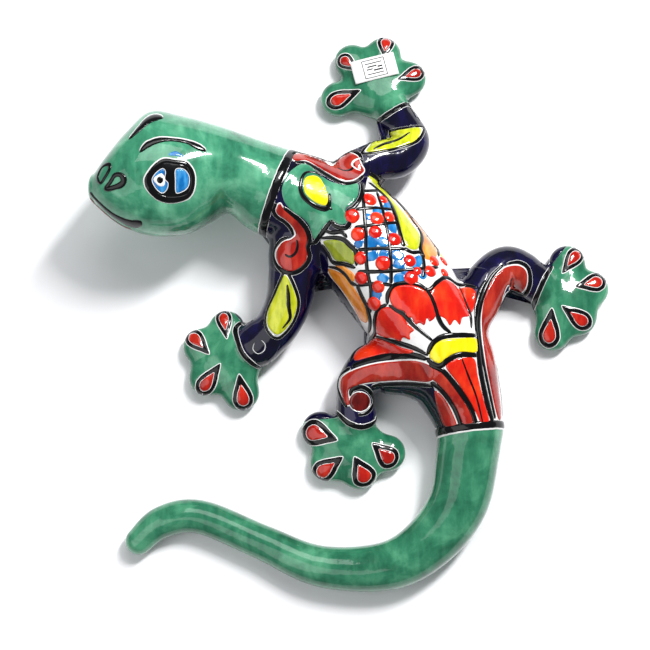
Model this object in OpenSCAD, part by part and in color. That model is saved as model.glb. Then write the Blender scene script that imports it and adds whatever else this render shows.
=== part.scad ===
// Wall gecko in glazed earthenware: a hollow, press-moulded body on four splayed legs, with a
// raised head that looks to one side and a tail that curls below the hind feet.
// Origin: centre of the bounding box, on the wall plane. +X to the right, +Y up the wall,
// +Z out of the wall. All sizes in millimetres.

/* [Body] */
// Thickness of the hollow clay walls
wall = 5; // [4:0.5:6]
// Thickness of the flat belly plate
plate_t = 5; // [4:0.5:6]
// Height of the torso above its centre line, as a share of its half width
torso_crown = 0.94; // [0.88:0.02:1]

/* [Hanging hole] */
// Radius of the hole for the wall nail
hole_r = 6; // [4:0.5:8]
// Distance of the hole up the body from the middle
hole_y = 17; // [10:1:22]

/* [Glaze] */
// Height of the painted enamel above the clay
enamel = 0.8; // [0.5:0.1:1.2]
// Radius of the raised dots on the back
dot_r = 3.2; // [2.5:0.1:3.8]
// Width of the black bands at the neck and the tail
band_w = 4.5; // [3:0.5:6]

/* [Feet] */
// Thickness of a foot
foot_h = 12; // [10:0.5:14]
// Half width of a toe at its round tip
toe_r = 9.6; // [8:0.2:10.5]

/* [Label] */
// Length of the paper label
label_l = 24; // [18:1:26]
// Height of the paper label
label_w = 12.5; // [10:0.5:14]

/* [Hidden] */

ring_n = 24;      // points round the torso and head
tail_n = 20;      // points round the tail
limb_n = 16;      // points round a leg
toe_n = 10;       // points round a toe
slip_gap = 0.15;  // joint of fired slip round the belly plate

teal = [0.24, 0.59, 0.45];
navy = [0.08, 0.06, 0.28];
black = [0.03, 0.03, 0.03];
brick = [0.74, 0.18, 0.14];
orange_red = [0.93, 0.20, 0.10];
yellow = [0.97, 0.88, 0.05];
olive = [0.62, 0.70, 0.12];
orange = [0.92, 0.55, 0.16];
tin_white = [0.93, 0.93, 0.90];
clay = [0.72, 0.45, 0.32];
paper = [0.96, 0.96, 0.94];

// Directions in which the body crosses its neck joint and its tail joint.
neck_dir = unit([0.937, -0.35]);
tail_dir = unit([0.12, -0.993]);

// Centre lines. Each station is [x, y, z, half width, half height, roundness of the underside].
torso_line = [for (p = [[-43.4, 56.5, 32.5, 22.8, 1], [-18.6, 48.6, 27, 24.4, 0.7],
                        [0.7, 36.1, 23.6, 27, 0.4], [17.7, 15.1, 22.6, 27.7, 0.4],
                        [34.1, -7.5, 22, 26.9, 0.4], [47.9, -31.8, 20.8, 24.7, 0.4],
                        [56, -51.3, 19, 20, 0.7], [59.5, -65.5, 18, 16.9, 1]])
              [p.x, p.y, p.z, p[3], p[3] * torso_crown, p[4]]];

tail_line = [for (p = [[59.5, -65.5, 18, 16.9], [58.4, -77.8, 17, 16.2],
                       [53, -103.8, 15, 15.3], [37.6, -124, 13, 13.8],
                       [16.2, -135.6, 11.6, 12.4], [-17.5, -135.5, 9.8, 10.5],
                       [-47.2, -123.3, 8.3, 8.9], [-79.2, -110.4, 8, 8.7], [-98.8, -113, 7.6, 8.3],
                       [-110.6, -122.6, 6.6, 7]])
             [p.x, p.y, p.z, p[3], p[3] * torso_crown, 1]];

// The head runs from the neck joint to the snout: [upper edge, lower edge, z, half depth].
neck = torso_line[0];
neck_side = [-neck_dir.y, neck_dir.x] * neck[3];
head_edges = [[[neck.x, neck.y] + neck_side, [neck.x, neck.y] - neck_side, neck.z, neck[4]],
              [[-53.8, 83.3], [-64.2, 43.3], 37, 21.5], [[-70.1, 88], [-72.7, 38.2], 41, 23.5],
              [[-87.9, 92.1], [-85.5, 30.9], 44, 26], [[-103.8, 94], [-102.6, 29.6], 46, 26.5],
              [[-115.1, 83.2], [-115.8, 33.2], 48, 24], [[-124.7, 70.2], [-125.6, 39.4], 50, 18.5],
              [[-131.6, 60], [-132.1, 45.4], 51, 10.5]];
snout_tip = [-134.8, 52.2, 51.5];

// Legs run from inside the torso to the ankle.
front_right_line = [[-8.2, 58.8, 26, 11, 10, 1], [0.8, 68.3, 25.5, 10.6, 10, 1],
                    [11.3, 74, 24, 10.4, 10, 1], [23.3, 77.4, 20.5, 10.6, 10, 1],
                    [30.4, 86.3, 17, 10.1, 9.6, 1], [27.6, 96.4, 13, 9.1, 9, 1],
                    [22.2, 104.4, 9.5, 8.8, 8, 1]];
front_left_line = [[-22.2, 40.8, 26, 13, 12, 1], [-29.9, 28.8, 27, 13.4, 13, 1],
                   [-31.5, 13.3, 25, 12.7, 12.5, 1], [-34.2, -0.8, 20, 11.9, 11.5, 1],
                   [-40.6, -12.6, 15, 11.3, 10.5, 1], [-49.8, -20.2, 10.5, 11, 8.5, 1]];
hind_left_line = [[43.8, -30.2, 22, 13, 12, 1], [33.8, -35.8, 21, 13.6, 12.5, 1],
                  [22.8, -34.6, 19, 13.9, 13, 1], [10.4, -34.6, 17, 13.2, 12.5, 1],
                  [2.6, -41.6, 14.5, 11, 11, 1], [0.6, -50.2, 11.5, 9.6, 9.5, 1],
                  [1.2, -58.2, 9.5, 9.5, 8, 1]];
hind_right_line = [[52.8, -17.2, 21, 11, 11, 1], [61.8, -3.2, 21.5, 12, 12, 1],
                   [70.4, 11.4, 20, 11.6, 11.5, 1], [79.1, 19.2, 18, 10.8, 10.5, 1],
                   [88.2, 17.8, 15, 10, 9.6, 1], [96.8, 11.6, 10.5, 9.4, 8.4, 1]];

// Feet: [ankle, palm, toe tips in order round the foot].
front_right_toes = [[22.2, 104.4], [13.3, 120.2], [[-16.8, 111.4], [-6.6, 142.2], [18.2, 148.4],
                    [39.2, 128.4]]];
front_left_toes = [[-49.8, -20.2], [-64.8, -27.6], [[-67.8, -2.2], [-88.6, -17.4], [-83.8, -43.8],
                   [-55.8, -54.4]]];
hind_left_toes = [[1.2, -58.2], [-1.8, -73.8], [[-25.8, -60.4], [-20.8, -87.8], [6.6, -95.4],
                  [26.8, -78.8]]];
hind_right_toes = [[96.8, 11.6], [111.2, 4], [[114.4, 33], [134.2, 13.2], [124.2, -13.2],
                   [101.4, -22.8]]];

// ---------------------------------------------------------------- curves and skins

function lerp(a, b, t) = a + (b - a) * t;
function unit(v) = v / norm(v);

// Point on a Catmull-Rom curve between b and c.
function spline(a, b, c, d, t) =
    0.5 * (2 * b + (c - a) * t + (2 * a - 5 * b + 4 * c - d) * t * t
           + (3 * b - a - 3 * c + d) * t * t * t);

// The curve through all stations, with n steps between each pair.
function smooth(p, n) = let (m = len(p) - 1)
    [for (i = [0:m - 1], k = [0:n - 1])
        spline(p[max(i - 1, 0)], p[i], p[i + 1], p[min(i + 2, m)], k / n),
     p[m]];

// A closed smooth outline through a few points.
function outline(p, n = 4) = let (m = len(p))
    [for (i = [0:m - 1], k = [0:n - 1])
        spline(p[(i + m - 1) % m], p[i], p[(i + 1) % m], p[(i + 2) % m], k / n)];

// Direction of a line in the wall plane at station i.
function heading(s, i) = let (a = s[max(i - 1, 0)], b = s[min(i + 1, len(s) - 1)])
    unit([b.x - a.x, b.y - a.y]);

// One upright cross-section: grown by g, and never lower than the floor.
function section(p, dir, g, floor_z, n) =
    [for (k = [0:n - 1]) let (a = 360 * k / n, s = sin(a), low = pow(max(-s, 0), p[5]))
        [p.x - dir.y * (p[3] + g) * cos(a), p.y + dir.x * (p[3] + g) * cos(a),
         max(p.z + (p[4] + g) * (s < 0 ? -low : s), floor_z)]];

// Cross-sections along a line. Towards each end they may turn to a given direction.
function sections(s, g, floor_z, n, first, last) = let (m = len(s) - 1)
    [for (i = [0:m])
        let (d = heading(s, i),
             a = first == undef ? 0 : max(0, 1 - i / 3),
             b = last == undef ? 0 : max(0, 1 - (m - i) / 3))
        section(s[i], unit(d * (1 - a - b) + (a > 0 ? first * a : [0, 0])
                           + (b > 0 ? last * b : [0, 0])), g, floor_z, n)];

// Extra stations that round off the far end of a line.
function round_end(s) = let (p = s[len(s) - 1], d = heading(s, len(s) - 1))
    concat(s, [for (a = [25, 48, 68, 84])
        [p.x + d.x * p[3] * sin(a), p.y + d.y * p[3] * sin(a), p.z,
         p[3] * cos(a), p[4] * cos(a), p[5]]]);

// Triangles of a tube of rings; flip turns it inside out.
function tube_faces(rows, n, first, flip) =
    [for (i = [0:rows - 2], k = [0:n - 1])
        let (a = first + i * n + k, b = first + i * n + (k + 1) % n,
             c = first + (i + 1) * n + k, d = first + (i + 1) * n + (k + 1) % n)
        each flip ? [[a, c, b], [b, c, d]] : [[a, b, c], [b, d, c]]];

function cap_face(first, n, flip) =
    flip ? [[for (k = [n - 1:-1:0]) first + k]] : [[for (k = [0:n - 1]) first + k]];

// A solid made of rings, closed at both ends.
module ring_solid(rings) {
    n = len(rings[0]);
    rows = len(rings);
    polyhedron([for (r = rings) each r],
               concat(tube_faces(rows, n, 0, true), cap_face(0, n, false),
                      cap_face((rows - 1) * n, n, true)), convexity = 8);
}

// A wall between outer and inner rings. It is open at its first rings, and at its last if both.
module wall_solid(outer, inner, both = false) {
    n = len(outer[0]);
    in0 = len(outer) * n;
    out_end = in0 - n;
    in_end = in0 + (len(inner) - 1) * n;
    polyhedron([for (r = concat(outer, inner)) each r],
               concat(tube_faces(len(outer), n, 0, true), tube_faces(len(inner), n, in0, false),
                      rim_faces(0, in0, n, false),
                      both ? rim_faces(out_end, in_end, n, true)
                           : concat(cap_face(out_end, n, true), cap_face(in_end, n, false))),
               convexity = 8);
}

// The flat rim between an outer ring and an inner one.
function rim_faces(a, b, n, flip) =
    [for (k = [0:n - 1]) let (m = (k + 1) % n)
        each flip ? [[a + m, a + k, b + k], [a + m, b + k, b + m]]
                  : [[a + k, a + m, b + m], [a + k, b + m, b + k]]];

module line_solid(line, steps, n, g = 0, floor_z = 0, round = false, first = undef,
                  last = undef) {
    s = round ? round_end(smooth(line, steps)) : smooth(line, steps);
    ring_solid(sections(s, g, floor_z, n, first, last));
}

// Evaluates its children as one mesh.
module as_mesh() {
    resize([0, 0, 0]) children();
}

// ---------------------------------------------------------------- whole shapes

module torso_solid(g = 0) {
    line_solid(torso_line, 3, ring_n, g, max(-g, 0), first = neck_dir, last = tail_dir);
}

module tail_solid(g = 0) {
    line_solid(tail_line, 4, tail_n, g, 0, round = true, first = tail_dir);
}

function head_ring(e, g) = let (mid = (e[0] + e[1]) / 2, half = (e[0] - e[1]) / 2,
                                grow = 1 + g / norm(half))
    [for (k = [0:ring_n - 1]) let (a = -360 * k / ring_n)
        [mid.x + half.x * grow * cos(a), mid.y + half.y * grow * cos(a),
         e[2] + (e[3] + g) * sin(a)]];

function head_stations(p, n) = let (m = len(p) - 1)
    [for (i = [0:m - 1], k = [0:n - 1])
        [for (j = [0:3]) spline(p[max(i - 1, 0)][j], p[i][j], p[i + 1][j],
                                p[min(i + 2, m)][j], k / n)],
     p[m]];

// Rings from the neck joint to a round end at the tip.
function head_rings(edges, tip, g) = let (s = head_stations(edges, 3), last = s[len(s) - 1],
                                          mid = (last[0] + last[1]) / 2,
                                          half = (last[0] - last[1]) / 2)
    concat([for (e = s) head_ring(e, g)],
           [for (a = [35, 60, 80]) let (c = lerp(mid, [tip.x, tip.y], sin(a)))
               head_ring([c + half * cos(a), c - half * cos(a), lerp(last[2], tip.z, sin(a)),
                          last[3] * cos(a)], g * cos(a))]);

module head_solid(g = 0) {
    ring_solid(head_rings(head_edges, snout_tip + [-g, 0, 0], g));
}

// Rings of the hollow inside the head, from the neck joint.
function head_hollow() = let (m = len(head_edges) - 1,
                              end = (head_edges[m][0] + head_edges[m][1]) / 2)
    head_rings([for (i = [0:m - 1]) head_edges[i]], [end.x, end.y, snout_tip.z], -wall);

module leg_solid(line, g = 0) {
    line_solid(line, 3, limb_n, g, g < 0 ? -g : 0);
}

// One toe: from the palm out to a round, flattened tip.
module toe_solid(palm, tip, g = 0) {
    d = unit(tip - palm);
    reach = norm(tip - palm) - toe_r;
    mid_h = foot_h / 2;
    line = [for (t = [[0, 1.4, 1.05], [0.45, 1.12, 0.98], [0.75, 1.02, 0.94], [1, 1, 0.9]])
        [palm.x + d.x * reach * t[0], palm.y + d.y * reach * t[0], mid_h * 0.94,
         toe_r * t[1], mid_h * t[2], 1]];
    line_solid(line, 2, toe_n, g, -foot_h, round = true);
}

// Direction in which a leg enters its foot.
function ankle_dir(line) = let (s = smooth(line, 3)) heading(s, len(s) - 1);

// A foot: a cushion palm, four toes and a heel that starts at the flat end of the ankle. It
// reaches below the wall plane, where foot() cuts it flat.
module foot_solid(toes, line) {
    palm = toes[1];
    end = line[len(line) - 1];
    d = ankle_dir(line);
    heel = [[end.x - d.x, end.y - d.y, end.z, end[3], end[4], 1],
            [end.x + d.x * 5, end.y + d.y * 5, end.z - 1, end[3] * 1.12, end[4] * 0.94, 1],
            [palm.x, palm.y, foot_h / 2, toe_r * 1.35, foot_h / 2, 1]];
    for (tip = toes[2])
        toe_solid(palm, tip);
    translate([palm.x, palm.y, foot_h / 2 * (1 - 0.02)])
        line_solid([for (t = [-1, 1]) [t * toe_r * 0.4, 0, 0, toe_r * 1.5, foot_h / 2 * 1.04, 1]],
                   1, toe_n, 0, -foot_h, round = true);
    line_solid(heel, 2, limb_n, 0, -foot_h, round = true, first = d);
}

// The space that a leg takes up behind its ankle joint.
module ankle_block(line) {
    end = line[len(line) - 1];
    d = ankle_dir(line);
    half = end[3] + 0.4;
    translate([end.x, end.y, -1]) rotate(atan2(d.y, d.x)) translate([-20, -half, 0])
        cube([20, 2 * half, 40]);
}

// ---------------------------------------------------------------- clay bodies

module head_shell() {
    color(teal) as_mesh() wall_solid(head_rings(head_edges, snout_tip, 0), head_hollow());
}

module torso_shell() {
    s = smooth(torso_line, 3);
    color(tin_white) as_mesh() difference() {
        wall_solid(sections(s, 0, 0, ring_n, neck_dir, tail_dir),
                   sections(s, -wall, wall, ring_n, neck_dir, tail_dir), both = true);
        translate([0, 0, -1]) linear_extrude(wall + 3) belly_outline(slip_gap);
    }
}

// Opening in the flat of the belly, which the plate closes. It runs along the middle stations.
module belly_outline(g = 0) {
    all = smooth(torso_line, 3);
    s = [for (i = [6:14]) (all[i] + all[i + 1]) / 2];
    n = len(s) - 1;
    left = [for (i = [0:n]) let (d = heading(s, i), w = plate_w(s[i], i / n) + g)
        [s[i].x - d.y * w, s[i].y + d.x * w]];
    right = [for (i = [n:-1:0]) let (d = heading(s, i), w = plate_w(s[i], i / n) + g)
        [s[i].x + d.y * w, s[i].y - d.x * w]];
    polygon(concat(left, right));
}

// Half width of the plate: an oval along the torso line.
function plate_w(p, t) = p[3] * 0.52 * pow(sin(180 * (0.08 + 0.84 * t)), 0.5);

module belly_plate() {
    color(clay) difference() {
        linear_extrude(plate_t) belly_outline();
        translate([hole_x(), hole_y, -1]) cylinder(h = plate_t + 2, r = hole_r, $fn = 64);
    }
}

// The hole sits on the torso's centre line.
function hole_x() = lookup(hole_y, [for (p = torso_line) [p.y, p.x]]);

// The tail is hollow as far as its bend and solid beyond it.
module tail_shell() {
    hollow = round_end(smooth([for (i = [0:4]) tail_line[i]], 4));
    color(teal) as_mesh()
        wall_solid(sections(round_end(smooth(tail_line, 4)), 0, 0, tail_n, tail_dir),
                   sections(hollow, -wall, wall, tail_n, tail_dir));
}

module leg(line) {
    color(navy) as_mesh() difference() {
        leg_solid(line);
        torso_solid();
    }
}

module front_right_leg() leg(front_right_line);
module front_left_leg() leg(front_left_line);
module hind_left_leg() leg(hind_left_line);
module hind_right_leg() leg(hind_right_line);

module foot(toes, line) {
    color(teal) as_mesh() difference() {
        foot_solid(toes, line);
        ankle_block(line);
        translate([toes[1].x - 60, toes[1].y - 60, -40]) cube([120, 120, 40]);
    }
}

module front_right_foot() foot(front_right_toes, front_right_line);
module front_left_foot() foot(front_left_toes, front_left_line);
module hind_left_foot() foot(hind_left_toes, hind_left_line);
module hind_right_foot() foot(hind_right_toes, hind_right_line);

// ---------------------------------------------------------------- painted bands

// A flat hoop on the surface between two rings, w wide, standing proud by the enamel.
module hoop(line, steps, n, dir, w) {
    s = smooth(line, steps);
    inner = sections(s, 0, 0, n, dir);
    outer = sections(s, enamel, 0, n, dir);
    t = w / norm([s[1].x - s[0].x, s[1].y - s[0].y]);
    rings = [inner[0], lerp(inner[0], inner[1], t), lerp(outer[0], outer[1], t), outer[0]];
    polyhedron([for (r = rings) each r],
               concat(tube_faces(4, n, 0, false),
                      [for (k = [0:n - 1]) let (a = 3 * n + k, b = 3 * n + (k + 1) % n)
                          each [[a, b, k], [b, (k + 1) % n, k]]]), convexity = 6);
}

module neck_band() {
    color(black) as_mesh() hoop(torso_line, 3, ring_n, neck_dir, band_w);
}

module tail_band() {
    color(black) as_mesh() hoop(tail_line, 2, tail_n, tail_dir, band_w);
}

// ---------------------------------------------------------------- painted fields

// A thin skin of enamel over the torso, inside the outline drawn as its child.
module torso_glaze(rise = enamel) {
    as_mesh() difference() {
        intersection() {
            torso_solid(rise);
            translate([0, 0, 18]) linear_extrude(60) children();
        }
        torso_solid();
    }
}

module leg_glaze(line) {
    as_mesh() difference() {
        intersection() {
            leg_solid(line, enamel);
            translate([0, 0, line[3].z]) linear_extrude(60) children();
        }
        leg_solid(line);
        torso_solid();
    }
}

// Green field over the shoulder, with a yellow drop in it.
module shoulder_glaze() {
    color(teal) torso_glaze() difference() {
        polygon(outline([[-32.2, 58.8], [-26.2, 64.8], [-17.2, 58.8], [-8.2, 55.8], [0.8, 54.8],
                         [0.8, 49.8], [-4.2, 43.8],
                         [-5.2, 36.8], [-12.2, 34.8], [-19.2, 29.8], [-24.2, 37.8], [-33.2, 43.8]], 3));
        translate([-19.2, 51.8]) circle(r = 6, $fn = 18);
    }
}

module side_strips() {
    color(orange) torso_glaze() {
        polygon([[6.8, 56.8], [12.8, 53.8], [22.8, 41.8], [31.8, 24.8], [26.8, 22.8],
                 [18.8, 36.8], [11.8, 47.8]]);
        polygon([[24.8, 43.8], [30.8, 37.8], [39.8, 22.8], [38.8, 16.8], [30.8, 27.8]]);
        polygon([[-13.2, 16.8], [-10.2, 18.8], [-1.2, 12.8], [0.8, 6.8], [-7.2, 9.8]]);
        polygon([[-11.2, 9.8], [-6.2, 7.8], [3.8, -2.2], [5.8, -11.2], [-2.2, -8.2], [-9.2, 0.8]]);
        polygon([[-14.2, 25.8], [-9.2, 26.8], [-1.2, 21.8], [0.8, 14.8], [-7.2, 14.8], [-12.2, 19.8]]);
    }
}

module petals() {
    color(orange_red) torso_glaze() {
        polygon(outline([[21.8, 7.8], [32.8, 1.8], [36.8, -10.2], [33.8, -22.2], [24.8, -16.2],
                         [15.8, -11.2], [14.8, -2.2]], 3));
        polygon(outline([[8.8, -11.2], [19.8, -11.2], [30.8, -23.2], [33.8, -28.2], [24.8, -29.2],
                         [14.8, -22.2]], 3));
        polygon(outline([[13.8, -21.2], [25.8, -30.2], [35.8, -34.2], [25.8, -38.2],
                         [15.8, -34.2]], 3));
        polygon(outline([[41.8, 2.8], [49.8, -0.2], [50.8, -10.2], [46.8, -21.2], [41.8, -18.2],
                         [39.8, -6.2]], 3));
        polygon(outline([[53.8, 1.8], [57.8, -1.2], [59.8, -9.2], [56.8, -19.2], [51.8, -20.2],
                         [53.8, -9.2]], 3));
        polygon([[43.8, -37.2], [61.8, -34.2], [67.8, -49.2], [70.8, -62.2], [58.8, -65.2],
                 [46.8, -65.2], [41.8, -51.2]]);
    }
}

module flower_heart() {
    color(yellow) torso_glaze(enamel * 1.2)
        polygon([[37.8, -31.2], [42.8, -26.2], [49.8, -23.2], [59.8, -25.2], [59.8, -31.2],
                 [51.8, -31.2], [43.8, -35.2]]);
}

// Raised dots on the back: domes that sit on the clay.
module back_dots() {
    spots = [[7.8, 47.8], [14.8, 46.8], [-1.2, 38.8], [11.8, 36.8], [18.4, 39.4], [1.8, 27.8],
             [10.4, 30.8], [19.8, 26.8],
             [2.8, 16.8], [13.8, 13.8], [27.8, 15.8], [36.8, 16.8], [2.8, 5.8], [11.4, 3.8],
             [24.8, 8.4], [36.8, 9.8],
             [44.2, 7.8], [7.8, -5.8]];
    color(orange_red) as_mesh() difference() {
        for (p = spots)
            translate([p.x, p.y, back_z(p) - 1.2]) scale([1, 1, 0.7])
                sphere(r = dot_r * 1.15, $fn = 10);
        torso_solid();
    }
}

// Height of the back at a point: found from the nearest station of the torso line.
function back_z(p) = let (s = smooth(torso_line, 6),
                          d = [for (q = s) norm([q.x - p.x, q.y - p.y])],
                          i = search(min(d), d)[0], q = s[i], t = min(d) / q[3])
    q.z + q[4] * sqrt(max(1 - t * t, 0.05));

module shoulder_scrolls() {
    color(brick) {
        torso_glaze(enamel * 1.1) polygon([[-33.2, 69.8], [-30.2, 71.8], [-22.2, 64.8],
                                           [-15.2, 60.8], [-6.2, 57.8],
                                           [-0.2, 58.8], [-6.2, 54.8], [-16.2, 56.8], [-24.2, 62.8]]);
        leg_glaze(front_right_line) polygon([[-6.2, 72.8], [-0.2, 76.8], [5.8, 73.8], [6.8, 67.8],
                                             [-0.2, 63.8],
                                             [-8.2, 62.8]]);
        leg_glaze(front_left_line) polygon([[-40.2, 27.8], [-35.2, 30.8], [-27.2, 27.8],
                                            [-23.2, 20.8], [-28.2, 10.8],
                                            [-36.2, 12.8], [-40.2, 18.8]]);
        torso_glaze(enamel * 1.1) polygon([[-39.2, 44.8], [-35.2, 46.8], [-28.2, 38.8],
                                           [-24.2, 32.8], [-28.2, 29.8],
                                           [-33.2, 36.8]]);
    }
}

module hip_scrolls() {
    color(brick) {
        leg_glaze(hind_left_line) polygon([[-5.2, -39.2], [0.8, -34.2], [13.8, -31.2],
                                           [28.8, -32.2], [28.8, -37.2],
                                           [14.8, -39.2], [8.8, -44.2], [7.8, -50.2],
                                           [1.8, -53.2], [-4.2, -48.2]]);
        leg_glaze(hind_right_line) polygon([[60.8, -11.2], [63.8, 0.8], [70.8, 10.8],
                                            [77.8, 17.8], [85.8, 17.8],
                                            [88.8, 12.8], [83.8, 7.8], [76.8, 8.8], [70.8, -0.2],
                                            [67.8, -13.2]]);
    }
}

module leg_leaves() {
    color(olive) {
        leg_glaze(front_right_line) polygon([[8.8, 76.8], [14.8, 81.8], [24.8, 84.8],
                                             [34.8, 86.8], [30.8, 79.8],
                                             [19.8, 73.8], [11.8, 72.8]]);
        leg_glaze(front_left_line) polygon([[-37.2, 8.8], [-33.2, 10.8], [-29.2, 2.8],
                                            [-29.2, -6.2], [-34.2, -14.2],
                                            [-40.2, -16.2], [-42.2, -9.2], [-40.2, 0.8]]);
    }
}

// Four toe nails of enamel: drops that point back towards the palm.
module nails(toes) {
    palm = toes[1];
    color(brick) as_mesh()
        for (tip = toes[2])
            intersection() {
                difference() {
                    toe_solid(palm, tip, enamel);
                    toe_solid(palm, tip);
                    for (other = toes[2])
                        if (other != tip)
                            toe_solid(palm, other);
                }
                translate([0, 0, foot_h * 0.55]) linear_extrude(20) drop(palm, tip);
            }
}

module drop(palm, tip) {
    d = unit(tip - palm);
    base = tip - d * toe_r * 1.1;
    s = [-d.y, d.x];
    polygon([base + d * 5 + s * 3, base + d * 2 + s * 4.4, base - d * 3 + s * 3.4, base - d * 10,
             base - d * 3 - s * 3.4, base + d * 2 - s * 4.4, base + d * 5 - s * 3]);
}

module front_right_nails() nails(front_right_toes);
module front_left_nails() nails(front_left_toes);
module hind_left_nails() nails(hind_left_toes);
module hind_right_nails() nails(hind_right_toes);

// ---------------------------------------------------------------- face

module head_glaze(g = enamel) {
    as_mesh() difference() {
        intersection() {
            head_solid(g);
            children();
        }
        head_solid();
    }
}

module left_eye() {
    color(tin_white) head_glaze(enamel * 1.5)
        translate([-92.6, 50.4, 50]) linear_extrude(40) scale([1, 0.86]) circle(r = 11, $fn = 28);
}

module right_eye() {
    color(tin_white) head_glaze(enamel * 1.5)
        translate([-106.2, 72.8, 30]) rotate([-70, 0, 52]) translate([0, 0, 4])
            linear_extrude(40) scale([1, 0.86]) circle(r = 10, $fn = 28);
}

module face_lines() {
    color(black) head_glaze() translate([0, 0, 51]) linear_extrude(40) {
        polygon([[-106.8, 65.2], [-99, 71.4], [-90, 74.2], [-81, 72.4], [-73.6, 67.2],
                 [-81, 70.4], [-90, 71.8], [-98.6, 69]]);
        translate([-124.8, 58.4]) scale([0.55, 1]) circle(r = 3.6, $fn = 12);
        translate([-118, 53]) rotate(20) scale([0.7, 1]) circle(r = 3.6, $fn = 12);
        polygon([[-131.8, 49.8], [-124.2, 44.2], [-114.2, 37.8], [-106.9, 35.4], [-108.2, 33.2],
                 [-116.2, 35], [-125.8, 41.4]]);
    }
}

// ---------------------------------------------------------------- label

module paper_label() {
    color(paper) translate([11.6, 128.6, foot_h + 0.55]) rotate(8) rotate([2, 0, 0])
        translate([-label_l / 2, -label_w / 2, 0]) cube([label_l, label_w, 0.3]);
}

// ---------------------------------------------------------------- assembly

head_shell();
neck_band();
torso_shell();
belly_plate();
tail_shell();
tail_band();
front_right_leg();
front_left_leg();
hind_left_leg();
hind_right_leg();
front_right_foot();
front_left_foot();
hind_left_foot();
hind_right_foot();
left_eye();
right_eye();
face_lines();
shoulder_glaze();
side_strips();
petals();
flower_heart();
back_dots();
shoulder_scrolls();
hip_scrolls();
leg_leaves();
front_right_nails();
front_left_nails();
hind_left_nails();
hind_right_nails();
paper_label();
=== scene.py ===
"""Looks for a wall gecko in glazed earthenware, hand painted with raised enamel.

The clay body is one smooth field, made from the same centre lines as the CAD part, which is then
cut into the CAD part's pieces. Every painted field and line is a thin, domed skin of enamel that
is laid on that body. All working sizes are in millimetres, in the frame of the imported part.
"""

import math

import bmesh
import bpy
import numpy as np
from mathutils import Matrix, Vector, noise
from mathutils.bvhtree import BVHTree
from mathutils.geometry import delaunay_2d_cdt


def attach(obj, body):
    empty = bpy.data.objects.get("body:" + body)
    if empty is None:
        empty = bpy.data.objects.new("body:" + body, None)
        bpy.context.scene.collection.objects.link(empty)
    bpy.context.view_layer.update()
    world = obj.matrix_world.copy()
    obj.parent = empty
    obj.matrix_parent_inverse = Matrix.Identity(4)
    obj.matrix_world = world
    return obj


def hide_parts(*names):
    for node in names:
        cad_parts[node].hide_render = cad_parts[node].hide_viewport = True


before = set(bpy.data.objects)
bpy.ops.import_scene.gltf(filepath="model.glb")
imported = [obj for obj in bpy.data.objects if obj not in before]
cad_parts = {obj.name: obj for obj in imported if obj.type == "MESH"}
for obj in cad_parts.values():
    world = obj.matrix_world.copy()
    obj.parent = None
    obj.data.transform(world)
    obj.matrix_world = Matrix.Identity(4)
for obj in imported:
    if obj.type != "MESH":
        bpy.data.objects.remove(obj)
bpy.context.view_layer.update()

MM = 0.001

# ------------------------------------------------------------------------------------ camera

CAMERA_ELEVATION = 80.0
CAMERA_DISTANCE = 900.0
CAMERA_TARGET = (-14.92, -8.58, 0.0)
FRAME_WIDTH = 344.5       # width of the view at the target
SENSOR = 36.0


def make_camera():
    """The photo's view: nearly square on to the wall, from a little below."""
    data = bpy.data.cameras.new("camera")
    data.sensor_width = SENSOR
    data.lens = SENSOR * CAMERA_DISTANCE / FRAME_WIDTH
    data.clip_start = 0.01
    data.clip_end = 20.0
    camera = bpy.data.objects.new("camera", data)
    bpy.context.scene.collection.objects.link(camera)
    tilt = math.radians(90.0 - CAMERA_ELEVATION)
    back = Vector((0.0, -math.sin(tilt), math.cos(tilt)))
    camera.location = (Vector(CAMERA_TARGET) + back * CAMERA_DISTANCE) * MM
    camera.rotation_euler = (tilt, 0.0, 0.0)
    bpy.context.scene.camera = camera


make_camera()

# ------------------------------------------------------------------------- centre lines (CAD)
# Each station is (x, y, z, half width, half height, roundness of the underside).

CROWN = 0.94       # half height of a trunk section, as a share of its half width
WALL = 5.0         # thickness of the clay
SLIP_GAP = 0.15    # gap round the belly plate


def crowned(rows):
    return [(x, y, z, r, r * CROWN, k) for x, y, z, r, k in rows]


TORSO = crowned([(-43.4, 56.5, 32.5, 22.8, 1), (-18.6, 48.6, 27, 24.4, 0.7),
                 (0.7, 36.1, 23.6, 27, 0.4), (17.7, 15.1, 22.6, 27.7, 0.4),
                 (34.1, -7.5, 22, 26.9, 0.4), (47.9, -31.8, 20.8, 24.7, 0.4),
                 (56, -51.3, 19, 20, 0.7), (59.5, -65.5, 18, 16.9, 1)])
TAIL = crowned([(59.5, -65.5, 18, 16.9, 1), (58.4, -77.8, 17, 16.2, 1), (53, -103.8, 15, 15.3, 1),
                (37.6, -124, 13, 13.8, 1), (16.2, -135.6, 11.6, 12.4, 1),
                (-17.5, -135.5, 9.8, 10.5, 1), (-47.2, -123.3, 8.3, 8.9, 1),
                (-79.2, -110.4, 8, 8.7, 1), (-98.8, -113, 7.6, 8.3, 1),
                (-110.6, -122.6, 6.6, 7, 1)])
NECK_DIR = (0.937, -0.35)
TAIL_DIR = (0.12, -0.993)

# Head: (upper edge x, y, lower edge x, y, z, half depth) from the neck joint to the snout.
HEAD = [(-35.4, 77.9, -51.4, 35.1, 32.5, 21.4), (-53.8, 83.3, -64.2, 43.3, 37, 21.5),
        (-70.1, 88, -72.7, 38.2, 41, 23.5), (-87.9, 92.1, -85.5, 30.9, 44, 26),
        (-103.8, 94, -102.6, 29.6, 46, 26.5), (-115.1, 83.2, -115.8, 33.2, 48, 24),
        (-124.7, 70.2, -125.6, 39.4, 50, 18.5), (-131.6, 60, -132.1, 45.4, 51, 10.5)]

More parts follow.
